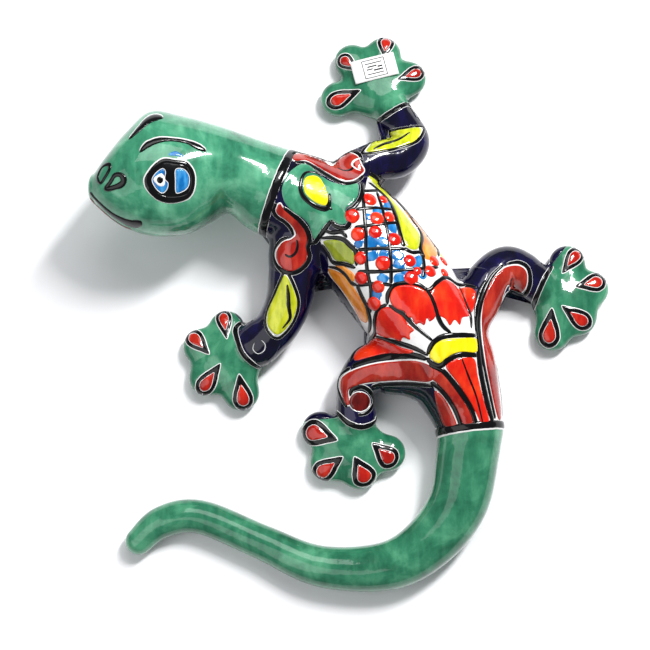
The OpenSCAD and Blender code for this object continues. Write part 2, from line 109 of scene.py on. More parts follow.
LEGS = {
    "front_right": [(-8.2, 58.8, 26, 11, 10, 1), (0.8, 68.3, 25.5, 10.6, 10, 1),
                    (11.3, 74, 24, 10.4, 10, 1), (23.3, 77.4, 20.5, 10.6, 10, 1),
                    (30.4, 86.3, 17, 10.1, 9.6, 1), (27.6, 96.4, 13, 9.1, 9, 1),
                    (22.2, 104.4, 9.5, 8.8, 8, 1)],
    "front_left": [(-22.2, 40.8, 26, 13, 12, 1), (-29.9, 28.8, 27, 13.4, 13, 1),
                   (-31.5, 13.3, 25, 12.7, 12.5, 1), (-34.2, -0.8, 20, 11.9, 11.5, 1),
                   (-40.6, -12.6, 15, 11.3, 10.5, 1), (-49.8, -20.2, 10.5, 11, 8.5, 1)],
    "hind_left": [(43.8, -30.2, 22, 13, 12, 1), (33.8, -35.8, 21, 13.6, 12.5, 1),
                  (22.8, -34.6, 19, 13.9, 13, 1), (10.4, -34.6, 17, 13.2, 12.5, 1),
                  (2.6, -41.6, 14.5, 11, 11, 1), (0.6, -50.2, 11.5, 9.6, 9.5, 1),
                  (1.2, -58.2, 9.5, 9.5, 8, 1)],
    "hind_right": [(52.8, -17.2, 21, 11, 11, 1), (61.8, -3.2, 21.5, 12, 12, 1),
                   (70.4, 11.4, 20, 11.6, 11.5, 1), (79.1, 19.2, 18, 10.8, 10.5, 1),
                   (88.2, 17.8, 15, 10, 9.6, 1), (96.8, 11.6, 10.5, 9.4, 8.4, 1)],
}
PALMS = {"front_right": (13.3, 120.2), "front_left": (-64.8, -27.6), "hind_left": (-1.8, -73.8),
         "hind_right": (111.2, 4)}
TOES = {
    "front_right": [(-16.8, 111.4), (-6.6, 142.2), (18.2, 148.4), (39.2, 128.4)],
    "front_left": [(-67.8, -2.2), (-88.6, -17.4), (-83.8, -43.8), (-55.8, -54.4)],
    "hind_left": [(-25.8, -60.4), (-20.8, -87.8), (6.6, -95.4), (26.8, -78.8)],
    "hind_right": [(114.4, 33), (134.2, 13.2), (124.2, -13.2), (101.4, -22.8)],
}
FOOT_H = 12.0
TOE_R = 9.6
TOE_SECTIONS = ((0, 1.4, 1.05), (0.45, 1.05, 1), (0.75, 0.98, 0.98), (1, 1, 0.96))
HEEL = (7.4, 11.2, 7.2, 1)      # z, half width, half height and roundness behind the palm
PALM = (6.2, 14.4, 6.4, 1)      # and in the middle of the palm


def spline(p, n, closed=False):
    """Catmull-Rom curve through rows of numbers, with n steps between each pair."""
    p = np.asarray(p, float)
    m = len(p)
    out = []
    t = (np.arange(n) / n)[:, None]
    for i in range(m if closed else m - 1):
        if closed:
            a, b, c, d = (p[(i + j - 1) % m] for j in range(4))
        else:
            a, b, c, d = p[max(i - 1, 0)], p[i], p[i + 1], p[min(i + 2, m - 1)]
        out.append(0.5 * (2 * b + (c - a) * t + (2 * a - 5 * b + 4 * c - d) * t ** 2
                          + (3 * b - a - 3 * c + d) * t ** 3))
    if not closed:
        out.append(p[-1:])
    return np.concatenate(out)


# --------------------------------------------------------------------------------- body field

EMPTY = 25.0          # value of the field where nothing is near
SNOUT_REACH = 3.0     # how far the head goes on past its last section
STEPS = 8             # steps of a curve between two of its points
SMOOTH_HEAD = 0.5     # how widely each part melts into the rest
SMOOTH_TRUNK = 1.5
SMOOTH_LEG = 5.0
SMOOTH_TOE = 3.2
SMOOTH_WALL = 1.0
BLOCK = (-141, -155, -3), (141, 155, 79)    # the corners of the block of cells
HEAD_MARGIN = 12
LIMB_MARGIN = 14.0
HOLLOW_ROWS = slice(10, -8)     # the part of the torso's centre line that is hollow
PLATE_STEPS = 3                 # the belly plate is drawn on a coarser centre line, as in the CAD
PLATE_ROWS = slice(6, 16)
PLATE_SHARE = 0.52              # half width of the plate, as a share of the torso's
PLATE_ARC = (0.08, 0.84)        # the part of a half turn that rounds off the plate's ends


def nearest_station(line, x, y):
    """For each column: how far it is from a centre line, and the line's values there."""
    a, b = line[:-1, :2], line[1:, :2]
    ab = b - a
    t = ((x[:, None] - a[:, 0]) * ab[:, 0] + (y[:, None] - a[:, 1]) * ab[:, 1]) / (ab ** 2).sum(1)
    t = np.clip(t, 0.0, 1.0)
    d2 = (x[:, None] - a[:, 0] - t * ab[:, 0]) ** 2 + (y[:, None] - a[:, 1] - t * ab[:, 1]) ** 2
    best = d2.argmin(1)
    rows = np.arange(len(best))
    t = t[rows, best][:, None]
    return np.sqrt(d2[rows, best]), line[best] * (1 - t) + line[best + 1] * t, best + t[:, 0]


def limb_field(line, x, y, z, grow=0.0):
    """Upright oval sections along a centre line: columns x, y against heights z."""
    d, v, _ = nearest_station(line, x, y)
    zc, r, h, k = (v[:, i][:, None] for i in (2, 3, 4, 5))
    r, h = r + grow, h + grow
    s = (z - zc) / h
    power = np.where(s < 0, 2.0 / k, 2.0)
    value = np.sqrt((d[:, None] / r) ** 2 + np.abs(s) ** power) - 1.0
    return value * np.minimum(r, h)


def head_field(rows, x, y, z):
    """The head: sections between its two outline edges, from the neck joint to the snout."""
    mid = (rows[:, :2] + rows[:, 2:4]) / 2
    half = (rows[:, :2] - rows[:, 2:4]) / 2
    size = np.hypot(half[:, 0], half[:, 1])
    across = half / size[:, None]
    along = np.stack([-across[:, 1], across[:, 0]], 1)
    ahead = (x[:, None] - mid[:, 0]) * along[:, 0] + (y[:, None] - mid[:, 1]) * along[:, 1]
    last = len(rows) - 2
    seg = np.clip((ahead > 0).sum(1) - 1, 0, last)
    n = np.arange(len(seg))
    start, end = ahead[n, seg], ahead[n, seg + 1]
    t = np.clip(start / np.maximum(start - end, 1e-6), 0.0, 1.0)[:, None]
    m, u, r, zh = (a[seg] * (1 - t) + a[seg + 1] * t
                   for a in (mid, across, size[:, None], rows[:, 4:6]))
    lateral = ((x - m[:, 0]) * u[:, 0] + (y - m[:, 1]) * u[:, 1]) / r[:, 0]
    beyond = np.maximum(ahead[n, last + 1], 0.0) / SNOUT_REACH
    before = np.maximum(-ahead[n, 0], 0.0) / r[:, 0]
    flat = lateral ** 2 + beyond ** 2 + before ** 2
    value = np.sqrt(flat[:, None] + ((z - zh[:, :1]) / zh[:, 1:]) ** 2) - 1.0
    return value * np.minimum(r, zh[:, 1:])



def toe_line(palm, tip):
    """From the middle of the palm: share of the length, of the half width, of the half height."""
    palm, tip = np.array(palm), np.array(tip)
    length = np.linalg.norm(tip - palm)
    d = (tip - palm) / length
    mid = FOOT_H / 2
    rows = []
    for t, r, h in TOE_SECTIONS:
        at = palm + d * (length - TOE_R) * t
        rows.append((at[0], at[1], mid * 0.94, TOE_R * r, mid * h, 1))
    return rows


def heel_line(name):
    """From the ankle to the middle of the palm."""
    ankle, palm = LEGS[name][-1], PALMS[name]
    between = (np.array(ankle[:2]) + np.array(palm)) / 2
    return [ankle, (*between, *HEEL), (*palm, *PALM)]


def smooth_min(a, b, k):
    h = np.maximum(k - np.abs(a - b), 0.0) / k
    return np.minimum(a, b) - h * h * k * 0.25


def smooth_max(a, b, k):
    return -smooth_min(-a, -b, k)


HEAD_ROWS = spline(HEAD, STEPS)
TORSO_ROWS = spline(TORSO, STEPS)
TAIL_ROWS = spline(TAIL, STEPS)
LEG_ROWS = {name: spline(line, STEPS) for name, line in LEGS.items()}
FOOT_ROWS = {name: [spline(line, STEPS) for line in
                    [heel_line(name)] + [toe_line(PALMS[name], tip) for tip in TOES[name]]]
             for name in LEGS}


class Grid:
    """A block of cells that holds the body's signed field, negative inside."""

    def __init__(self, low, high, step):
        self.low = np.asarray(low, float)
        self.step = step
        self.count = np.ceil((np.asarray(high, float) - self.low) / step).astype(int) + 1
        self.axes = [self.low[i] + step * np.arange(self.count[i]) for i in range(3)]
        self.field = np.full(self.count, EMPTY, np.float32)

    def columns(self, low, high):
        """The columns in a rectangle of x and y: their index slices, and x and y of each."""
        a = np.clip(((np.asarray(low) - self.low[:2]) / self.step).astype(int), 0, None)
        b = ((np.asarray(high) - self.low[:2]) / self.step).astype(int) + 2
        window = slice(a[0], b[0]), slice(a[1], b[1])
        x, y = np.meshgrid(self.axes[0][window[0]], self.axes[1][window[1]], indexing="ij")
        return window, x, y

    def around(self, rows, extra=LIMB_MARGIN):
        reach = rows[:, 3].max() + extra
        return self.columns(rows[:, :2].min(0) - reach, rows[:, :2].max(0) + reach)

    def value(self, rows, x, y, grow=0.0):
        flat = limb_field(rows, x.ravel(), y.ravel(), self.axes[2][None, :], grow)
        return flat.reshape(x.shape + (-1,)).astype(np.float32)

    def join(self, window, value, k):
        self.field[window] = smooth_min(self.field[window], value, k)

    def join_limb(self, rows, k):
        window, x, y = self.around(rows)
        self.join(window, self.value(rows, x, y), k)


def body_grid(step):
    grid = Grid(*BLOCK, step)
    edges = np.concatenate([HEAD_ROWS[:, :2], HEAD_ROWS[:, 2:4]])
    window, x, y = grid.columns(edges.min(0) - HEAD_MARGIN, edges.max(0) + HEAD_MARGIN)
    value = head_field(HEAD_ROWS, x.ravel(), y.ravel(), grid.axes[2][None, :])
    grid.join(window, value.reshape(x.shape + (-1,)).astype(np.float32), SMOOTH_HEAD)
    grid.join_limb(TORSO_ROWS, SMOOTH_TRUNK)
    grid.join_limb(TAIL_ROWS, SMOOTH_TRUNK)
    for name in LEGS:
        grid.join_limb(LEG_ROWS[name], SMOOTH_LEG)
        for rows in FOOT_ROWS[name]:
            grid.join_limb(rows, SMOOTH_TOE)
    grid.field = smooth_max(grid.field, -grid.axes[2], SMOOTH_WALL)
    return grid


def hollow(grid):
    """Cuts the torso's hollow, and the opening in the belly that the plate closes."""
    rows = TORSO_ROWS[HOLLOW_ROWS]
    window, x, y = grid.around(rows, 2.0)
    cavity = np.maximum(grid.value(rows, x, y, -WALL), WALL - grid.axes[2])
    plate = spline(TORSO, PLATE_STEPS)[PLATE_ROWS]
    plate = (plate[:-1] + plate[1:]) / 2
    d, v, u = nearest_station(plate, x.ravel(), y.ravel())
    share = u / (len(plate) - 1)
    start, span = PLATE_ARC
    half = v[:, 3] * PLATE_SHARE * np.sqrt(np.sin(np.pi * (start + span * share)))
    opening = (d - half - SLIP_GAP).reshape(x.shape + (1,))
    opening = np.maximum(opening, grid.axes[2] - WALL - 1.0)
    grid.field[window] = np.maximum(grid.field[window], -np.minimum(cavity, opening))


def surface_nets(grid):
    """Quads on the zero surface of the field, with one vertex in each cell that it crosses."""
    f = grid.field
    inside = f < 0
    corners = [(i, j, k) for i in (0, 1) for j in (0, 1) for k in (0, 1)]
    size = [n - 1 for n in f.shape]
    total = np.zeros(size, np.int8)
    for i, j, k in corners:
        total += inside[i:size[0] + i, j:size[1] + j, k:size[2] + k]
    cells = np.argwhere((total > 0) & (total < 8))
    index = np.full(size, -1, np.int32)
    index[tuple(cells.T)] = np.arange(len(cells))
    position = np.zeros((len(cells), 3))
    hits = np.zeros((len(cells), 1))
    for a in corners:
        for axis in range(3):
            if a[axis]:
                continue
            step = np.eye(3, dtype=int)[axis]
            fa, fb = f[tuple((cells + a).T)], f[tuple((cells + a + step).T)]
            cross = (fa < 0) != (fb < 0)
            t = np.where(cross, fa / np.where(cross, fa - fb, 1.0), 0.0)[:, None]
            position += np.where(cross[:, None], np.array(a) + t * step, 0.0)
            hits += cross[:, None]
    position = grid.low + (cells + position / hits) * grid.step
    faces = []
    for axis in range(3):
        u, v = (axis + 1) % 3, (axis + 2) % 3
        a = inside[tuple(slice(0, -1) if i == axis else slice(None) for i in range(3))]
        b = inside[tuple(slice(1, None) if i == axis else slice(None) for i in range(3))]
        edges = np.argwhere(a != b)
        flip = a[tuple(edges.T)]
        quad = []
        for du, dv in ((0, 0), (1, 0), (1, 1), (0, 1)):
            cell = edges.copy()
            cell[:, u] -= du
            cell[:, v] -= dv
            quad.append(index[tuple(cell.T)])
        quad = np.stack(quad, 1)
        faces.append(np.where(flip[:, None], quad, quad[:, ::-1]))
    return position, np.concatenate(faces)


def relax(position, faces, rounds):
    """Taubin smoothing, which evens the mesh without shrinking it: each round pulls the points
    together, then pushes them apart by a little more."""
    a = faces.ravel()
    b = np.roll(faces, -1, 1).ravel()
    n = len(position)
    degree = np.bincount(a, minlength=n) + np.bincount(b, minlength=n)
    for _ in range(rounds):
        for factor in (0.5, -0.52):
            mean = np.stack([(np.bincount(a, position[b, i], n)
                              + np.bincount(b, position[a, i], n)) / degree for i in range(3)], 1)
            position = position + factor * (mean - position)
    return position


# ------------------------------------------------------------------------- pieces of the body

SEAM_ROUNDS = 4        # a seam's points move on to the joint in so many rounds
LONGEST_MOVE = 0.5     # and by no more than this in each
PROBE = 0.05           # how far apart a slope is measured


def trunk_value(p):
    x, y, z = p[:, 0], p[:, 1], p[:, 2:]
    return np.minimum(np.minimum(limb_field(TORSO_ROWS, x, y, z), limb_field(TAIL_ROWS, x, y, z)),
                      head_field(HEAD_ROWS, x, y, z))[:, 0]


def leg_value(name, p):
    x, y, z = p[:, 0], p[:, 1], p[:, 2:]
    values = [limb_field(rows, x, y, z)[:, 0] for rows in [LEG_ROWS[name]] + FOOT_ROWS[name]]
    return np.min(values, 0)


def plane_value(station, direction, p):
    """Distance of points beyond a joint plane."""
    return (p[:, 0] - station[0]) * direction[0] + (p[:, 1] - station[1]) * direction[1]


def ankle_plane(name):
    end, before = LEG_ROWS[name][-1], LEG_ROWS[name][-2]
    d = end[:2] - before[:2]
    return end, d / np.linalg.norm(d)


def label_faces(centres):
    """The piece that each face of the body belongs to."""
    names = list(LEGS)
    values = np.stack([trunk_value(centres)] + [leg_value(n, centres) for n in names])
    group = values.argmin(0)
    label = np.full(len(centres), "torso_shell", dtype=object)
    label[(group == 0) & (plane_value(TORSO[0], NECK_DIR, centres) < 0)] = "head_shell"
    label[(group == 0) & (plane_value(TAIL[0], TAIL_DIR, centres) > 0)] = "tail_shell"
    for i, name in enumerate(names):
        station, d = ankle_plane(name)
        beyond = plane_value(station, d, centres) > 0
        label[(group == i + 1) & ~beyond] = name + "_leg"
        label[(group == i + 1) & beyond] = name + "_foot"
    return label


def seam_value(one, other, p):
    """Zero on the seam between two pieces."""
    pair = {one, other}
    if pair == {"torso_shell", "head_shell"}:
        return plane_value(TORSO[0], NECK_DIR, p)
    if pair == {"torso_shell", "tail_shell"}:
        return plane_value(TAIL[0], TAIL_DIR, p)
    name = [n for n in LEGS if n + "_leg" in pair or n + "_foot" in pair][0]
    if pair == {name + "_leg", name + "_foot"}:
        return plane_value(*ankle_plane(name), p)
    return leg_value(name, p) - trunk_value(p)


def face_normals(p, faces):
    n = np.cross(p[faces[:, 2]] - p[faces[:, 0]], p[faces[:, 3]] - p[faces[:, 1]])
    return n / np.maximum(np.linalg.norm(n, axis=1), 1e-9)[:, None]


def vertex_normals(p, faces):
    n = np.zeros_like(p)
    normal = face_normals(p, faces)
    for i in range(4):
        np.add.at(n, faces[:, i], normal)
    return n / np.maximum(np.linalg.norm(n, axis=1), 1e-9)[:, None]


def split_body(p, faces):
    """Cuts the body into closed pieces, with smooth seams where they meet."""
    label = label_faces(p[faces].mean(1))
    pieces = sorted(set(label))
    number = np.array([pieces.index(v) for v in label])
    a, b = faces.ravel(), np.roll(faces, -1, 1).ravel()
    owner = np.repeat(np.arange(len(faces)), 4)
    key = np.minimum(a, b).astype(np.int64) * len(p) + np.maximum(a, b)
    order = np.argsort(key, kind="stable")
    same = key[order][:-1] == key[order][1:]
    e1, e2 = order[:-1][same], order[1:][same]
    split = number[owner[e1]] != number[owner[e2]]
    e1, e2 = e1[split], e2[split]
    normal = vertex_normals(p, faces)
    caps = {name: [] for name in pieces}
    p = p.copy()
    extra = []
    pairs = sorted({tuple(sorted((number[owner[i]], number[owner[j]]))) for i, j in zip(e1, e2)})
    for m, n in pairs:
        on = [(i, j) for i, j in zip(e1, e2)
              if {number[owner[i]], number[owner[j]]} == {m, n}]
        seam = np.unique([v for i, _ in on for v in (a[i], b[i])])
        for _ in range(SEAM_ROUNDS):
            q = p[seam]
            value = seam_value(pieces[m], pieces[n], q)
            slope = np.stack([(seam_value(pieces[m], pieces[n], q + PROBE * d) - value) / PROBE
                              for d in np.eye(3)], 1)
            slope -= (slope * normal[seam]).sum(1)[:, None] * normal[seam]
            move = -value[:, None] * slope / np.maximum((slope ** 2).sum(1), 0.05)[:, None]
            length = np.maximum(np.linalg.norm(move, axis=1), 1e-9)[:, None]
            p[seam] = q + move * np.minimum(1.0, LONGEST_MOVE / length)
        centre = len(p) + len(extra)
        extra.append(p[seam].mean(0))
        for pair in on:
            for edge in pair:
                caps[pieces[number[owner[edge]]]].append((b[edge], a[edge], centre))
    p = np.concatenate([p, extra])
    return p, {name: (faces[number == i], caps[name]) for i, name in enumerate(pieces)}


def mesh_object(name, points, faces):
    """A mesh object from points in millimetres. Points that no face uses are left out."""
    flat = np.array([v for f in faces for v in f])
    used, renumbered = np.unique(flat, return_inverse=True)
    counts = np.cumsum([0] + [len(f) for f in faces])
    mesh = bpy.data.meshes.new(name)
    mesh.from_pydata((np.asarray(points)[used] * MM).tolist(), [],
                     [renumbered[counts[i]:counts[i + 1]].tolist() for i in range(len(faces))])
    mesh.validate()
    mesh.polygons.foreach_set("use_smooth", [True] * len(mesh.polygons))
    mesh.update()
    obj = bpy.data.objects.new(name, mesh)
    bpy.context.scene.collection.objects.link(obj)
    return obj


# --------------------------------------------------------------------------------- materials

def linear(r, g, b):
    """An sRGB colour of 0 to 255 as Blender's linear colour."""
    out = []
    for v in (r, g, b):
        v /= 255.0
        out.append(v / 12.92 if v <= 0.04045 else ((v + 0.055) / 1.055) ** 2.4)
    return (*out, 1.0)


def ramp(tree, stops):
    node = tree.nodes.new("ShaderNodeValToRGB")
    elements = node.color_ramp.elements
    while len(elements) < len(stops):
        elements.new(0.5)
    for element, (at, colour) in zip(elements, stops):
        element.position = at
        element.color = colour
    return node


def noise_node(tree, vector, scale, detail, roughness=0.55, distortion=0.0):
    node = tree.nodes.new("ShaderNodeTexNoise")
    node.inputs["Scale"].default_value = scale
    node.inputs["Detail"].default_value = detail
    node.inputs["Roughness"].default_value = roughness
    node.inputs["Distortion"].default_value = distortion
    tree.links.new(vector, node.inputs["Vector"])
    return node


def mix(tree, factor, a, b):
    node = tree.nodes.new("ShaderNodeMix")
    node.data_type = "RGBA"
    for value, socket in ((factor, node.inputs["Factor"]), (a, node.inputs[6]),
                          (b, node.inputs[7])):
        if isinstance(value, bpy.types.NodeSocket):
            tree.links.new(value, socket)
        else:
            socket.default_value = value
    return node.outputs[2]


def new_material(name, roughness):
    """A material, its nodes, its shader and its object coordinates."""
    material = bpy.data.materials.new(name)
    material.use_nodes = True
    tree = material.node_tree
    shader = tree.nodes["Principled BSDF"]
    shader.inputs["Roughness"].default_value = roughness
    return material, tree, shader, tree.nodes.new("ShaderNodeTexCoord").outputs["Object"]


def toned(tree, factor, *stops):
    """The colour of a ramp of sRGB colours."""
    tones = ramp(tree, [(at, linear(*colour)) for at, colour in stops])
    tree.links.new(factor, tones.inputs["Fac"])
    return tones.outputs["Color"]


def relief(tree, height, strength, *sockets):
    """Uneven surface for the sockets."""
    bump = tree.nodes.new("ShaderNodeBump")
    bump.inputs["Strength"].default_value = strength
    bump.inputs["Distance"].default_value = RELIEF
    tree.links.new(height, bump.inputs["Height"])
    for socket in sockets:
        tree.links.new(bump.outputs["Normal"], socket)


RELIEF = 0.0004                        # height of the unevenness, in metres
BRUSH_STRETCH = (1.0, 0.22, 0.5)
BRUSH_TURN = (0.0, 0.0, 0.9)
GLAZE_INPUTS = {"IOR": 1.5, "Specular IOR Level": 0.15, "Coat Roughness": 0.035}


def glaze(name, dark, base, light, cloud=70.0, streak=0.25, coat=0.9, pits=0.5):
    """Fired glaze: clouded and streaked colour, pinholes, a slightly uneven glossy surface."""
    material, tree, shader, where = new_material(name, 0.16)
    clouds = noise_node(tree, where, cloud, 5.0, 0.6, 0.4).outputs["Fac"]
    tones = toned(tree, clouds, (0.3, dark), (0.5, base), (0.72, light))
    stretch = tree.nodes.new("ShaderNodeMapping")
    stretch.inputs["Scale"].default_value = BRUSH_STRETCH
    stretch.inputs["Rotation"].default_value = BRUSH_TURN
    tree.links.new(where, stretch.inputs["Vector"])
    brush = noise_node(tree, stretch.outputs["Vector"], cloud * 4.0, 3.0, 0.5).outputs["Fac"]
    brush_tones = toned(tree, brush, (0.38, dark), (0.52, base), (0.66, light))
    colour = mix(tree, streak, tones, brush_tones)
    holes = tree.nodes.new("ShaderNodeTexVoronoi")
    holes.inputs["Scale"].default_value = 420.0
    tree.links.new(where, holes.inputs["Vector"])
    hole_mask = ramp(tree, [(0.02, (pits, pits, pits, 1)), (0.1, (0, 0, 0, 1))])
    tree.links.new(holes.outputs["Distance"], hole_mask.inputs["Fac"])
    deep = tuple(v * 0.55 for v in linear(*dark)[:3]) + (1.0,)
    colour = mix(tree, hole_mask.outputs["Color"], colour, deep)
    tree.links.new(colour, shader.inputs["Base Color"])
    uneven = noise_node(tree, where, 160.0, 2.0).outputs["Fac"]
    relief(tree, uneven, 0.25, shader.inputs["Normal"], shader.inputs["Coat Normal"])
    shader.inputs["Coat Weight"].default_value = coat
    for key, value in GLAZE_INPUTS.items():
        shader.inputs[key].default_value = value
    return material


def matt(name, grain, dark, light, roughness, rise=0.0):
    """A plain surface with a fine grain. The grain is scale, detail, roughness, distortion."""
    material, tree, shader, where = new_material(name, roughness)
    fine = noise_node(tree, where, *grain).outputs["Fac"]
    tree.links.new(toned(tree, fine, (0.3, dark), (0.7, light)), shader.inputs["Base Color"])
    if rise:
        relief(tree, fine, rise, shader.inputs["Normal"])
    return material


GREEN = glaze("green_glaze", (30, 98, 72), (64, 145, 110), (120, 194, 156), 60.0, 0.2)
DEEP_GREEN = glaze("deep_green_glaze", (20, 82, 58), (47, 121, 89), (92, 166, 128), 64.0, 0.18)
WHITE = glaze("white_glaze", (205, 205, 205), (236, 236, 234), (248, 248, 248), 60.0, 0.2)
NAVY = glaze("navy_glaze", (3, 3, 14), (8, 6, 38), (24, 18, 80), 55.0, 0.3, coat=0.65)
BLACK = glaze("black_line", (4, 4, 6), (7, 7, 9), (18, 18, 22), 80.0, 0.2, coat=0.45, pits=0.1)
BRICK = glaze("brick_glaze", (112, 14, 8), (164, 28, 18), (202, 68, 46), 60.0, 0.4)
RED = glaze("red_glaze", (180, 8, 2), (218, 26, 6), (244, 72, 26), 60.0, 0.4)
NAIL_RED = glaze("nail_glaze", (122, 10, 4), (182, 24, 10), (216, 58, 30), 60.0, 0.4)
YELLOW = glaze("yellow_glaze", (222, 196, 0), (248, 226, 6), (252, 240, 70), 80.0, 0.4)
LIME = glaze("olive_glaze", (150, 162, 10), (198, 206, 26), (228, 230, 70), 85.0, 0.5)
ORANGE = glaze("orange_glaze", (206, 100, 20), (234, 138, 36), (246, 176, 74), 80.0, 0.5)
OLIVE = glaze("olive_dark_glaze", (112, 126, 18), (152, 164, 34), (188, 196, 66), 85.0, 0.5)
BLUE = glaze("blue_glaze", (4, 84, 150), (16, 116, 186), (84, 168, 222), 95.0, 0.5)
OXBLOOD = glaze("dark_red_glaze", (60, 4, 4), (108, 10, 8), (148, 32, 22), 80.0, 0.4)
CLAY = matt("bare_clay", (600.0, 6.0, 0.7), (150, 84, 58), (196, 128, 96), 0.85, 0.5)
PAPER = matt("label_paper", (900.0, 4.0, 0.6, 1.0), (228,) * 3, (250,) * 3, 0.5)
FLOOR = matt("floor", (40.0, 3.0), (246, 246, 248), (250, 250, 252), 0.6)

# ------------------------------------------------------------------------- laying the enamel

EYE = np.array(CAMERA_TARGET) + CAMERA_DISTANCE * np.array(
    [0.0, -math.cos(math.radians(CAMERA_ELEVATION)), math.sin(math.radians(CAMERA_ELEVATION))])


LOWEST = 0.3          # a sight line that ends lower than this has missed the body
PROBE_ROUNDS = 4
DOWN_FLANK = 1.2      # how much further down the flank a point past the outline goes
SINK = 0.3            # how deep enamel reaches into the clay
ROUND_EDGE = 0.8      # width of a field's rounded edge
RING = 0.35           # distance of a field's second row of points from its edge
SIDES = 20            # of a dot
SPACING = 0.8         # between the points of an outline or a line
LINE_WOBBLE = 0.1     # how much a line's width varies, as a share of it
TRIANGLE = 0.866      # height of a triangle with equal sides of 1


class View:
    """A plane that designs are drawn on, and the eye point that carries them to the skin."""

    def __init__(self, eye, origin=(0, 0, 0), across=(1, 0, 0), up=(0, 1, 0)):
        self.eye = np.asarray(eye, float)
        self.origin = np.asarray(origin, float)
        self.across = np.asarray(across, float)
        self.up = np.asarray(up, float)

    def ray(self, u, v):
        ray = self.origin + self.across * u + self.up * v - self.eye
        return ray / np.linalg.norm(ray)


FRONT = View(EYE)


class Surface:
    """The clay body's skin, which enamel is laid on."""

    def __init__(self, points, quads):
        self.tree = BVHTree.FromPolygons(points.tolist(), quads.tolist())
        self.vertex_normal = vertex_normals(points, quads)
        self.points = points
        self.quads = quads

    def normal_at(self, where, face):
        corners = self.quads[face]
        d = np.linalg.norm(self.points[corners] - where, axis=1) + 1e-3
        n = (self.vertex_normal[corners] / d[:, None]).sum(0)
        return n / np.linalg.norm(n)

    def near(self, point):
        """(point, normal) of the skin nearest to a point."""
        where, _, face, _ = self.tree.find_nearest(Vector(point))
        where = np.array(where)
        return where, self.normal_at(where, face)

    def seen(self, u, v, view=FRONT):
        """(point, normal) of the skin at (u, v) of the view's plane. Past the body's outline,
        it goes on down the flank by the same distance."""
        eye = view.eye
        ray = view.ray(u, v)
        where, _, face, _ = self.tree.ray_cast(Vector(eye), Vector(ray))
        if where is not None:
            where = np.array(where)
            if where[2] > LOWEST:
                return where, self.normal_at(where, face)
        probe = eye + ray * (CAMERA_DISTANCE - 20.0)
        for _ in range(PROBE_ROUNDS):
            at, normal = self.near(probe)
            probe = eye + ray * np.dot(at - eye, ray)
        over = np.linalg.norm(probe - at)
        down = ray - normal * np.dot(ray, normal)
        down /= max(np.linalg.norm(down), 1e-6)
        return self.near(at + down * over * DOWN_FLANK)


def resample(points, step, closed=False):
    """Points spaced evenly along a polyline."""
    p = np.asarray(points, float)
    if closed:
        p = np.vstack([p, p[:1]])
    length = np.concatenate([[0], np.cumsum(np.linalg.norm(np.diff(p[:, :2], axis=0), axis=1))])
    n = max(int(round(length[-1] / step)), 4)
    at = np.linspace(0, length[-1], n + 1)
    out = np.stack([np.interp(at, length, p[:, i]) for i in range(p.shape[1])], 1)
    return out[:-1] if closed else out


def inside_distance(points, loop):
    """Distance from each point to a closed loop, negative outside it."""
    a, b = loop, np.roll(loop, -1, 0)
    ab = b - a
    t = ((points[:, None] - a) * ab).sum(2) / np.maximum((ab ** 2).sum(1), 1e-9)
    t = np.clip(t, 0, 1)
    d = np.linalg.norm(points[:, None] - a - t[:, :, None] * ab, axis=2).min(1)
    x, y = points[:, 0][:, None], points[:, 1][:, None]
    crosses = ((a[:, 1] > y) != (b[:, 1] > y))
    where = a[:, 0] + (y - a[:, 1]) / np.where(ab[:, 1] == 0, 1e-9, ab[:, 1]) * ab[:, 0]
    odd = (crosses & (x < where)).sum(1) % 2 == 1
    return np.where(odd, d, -d)


LAYERS = []


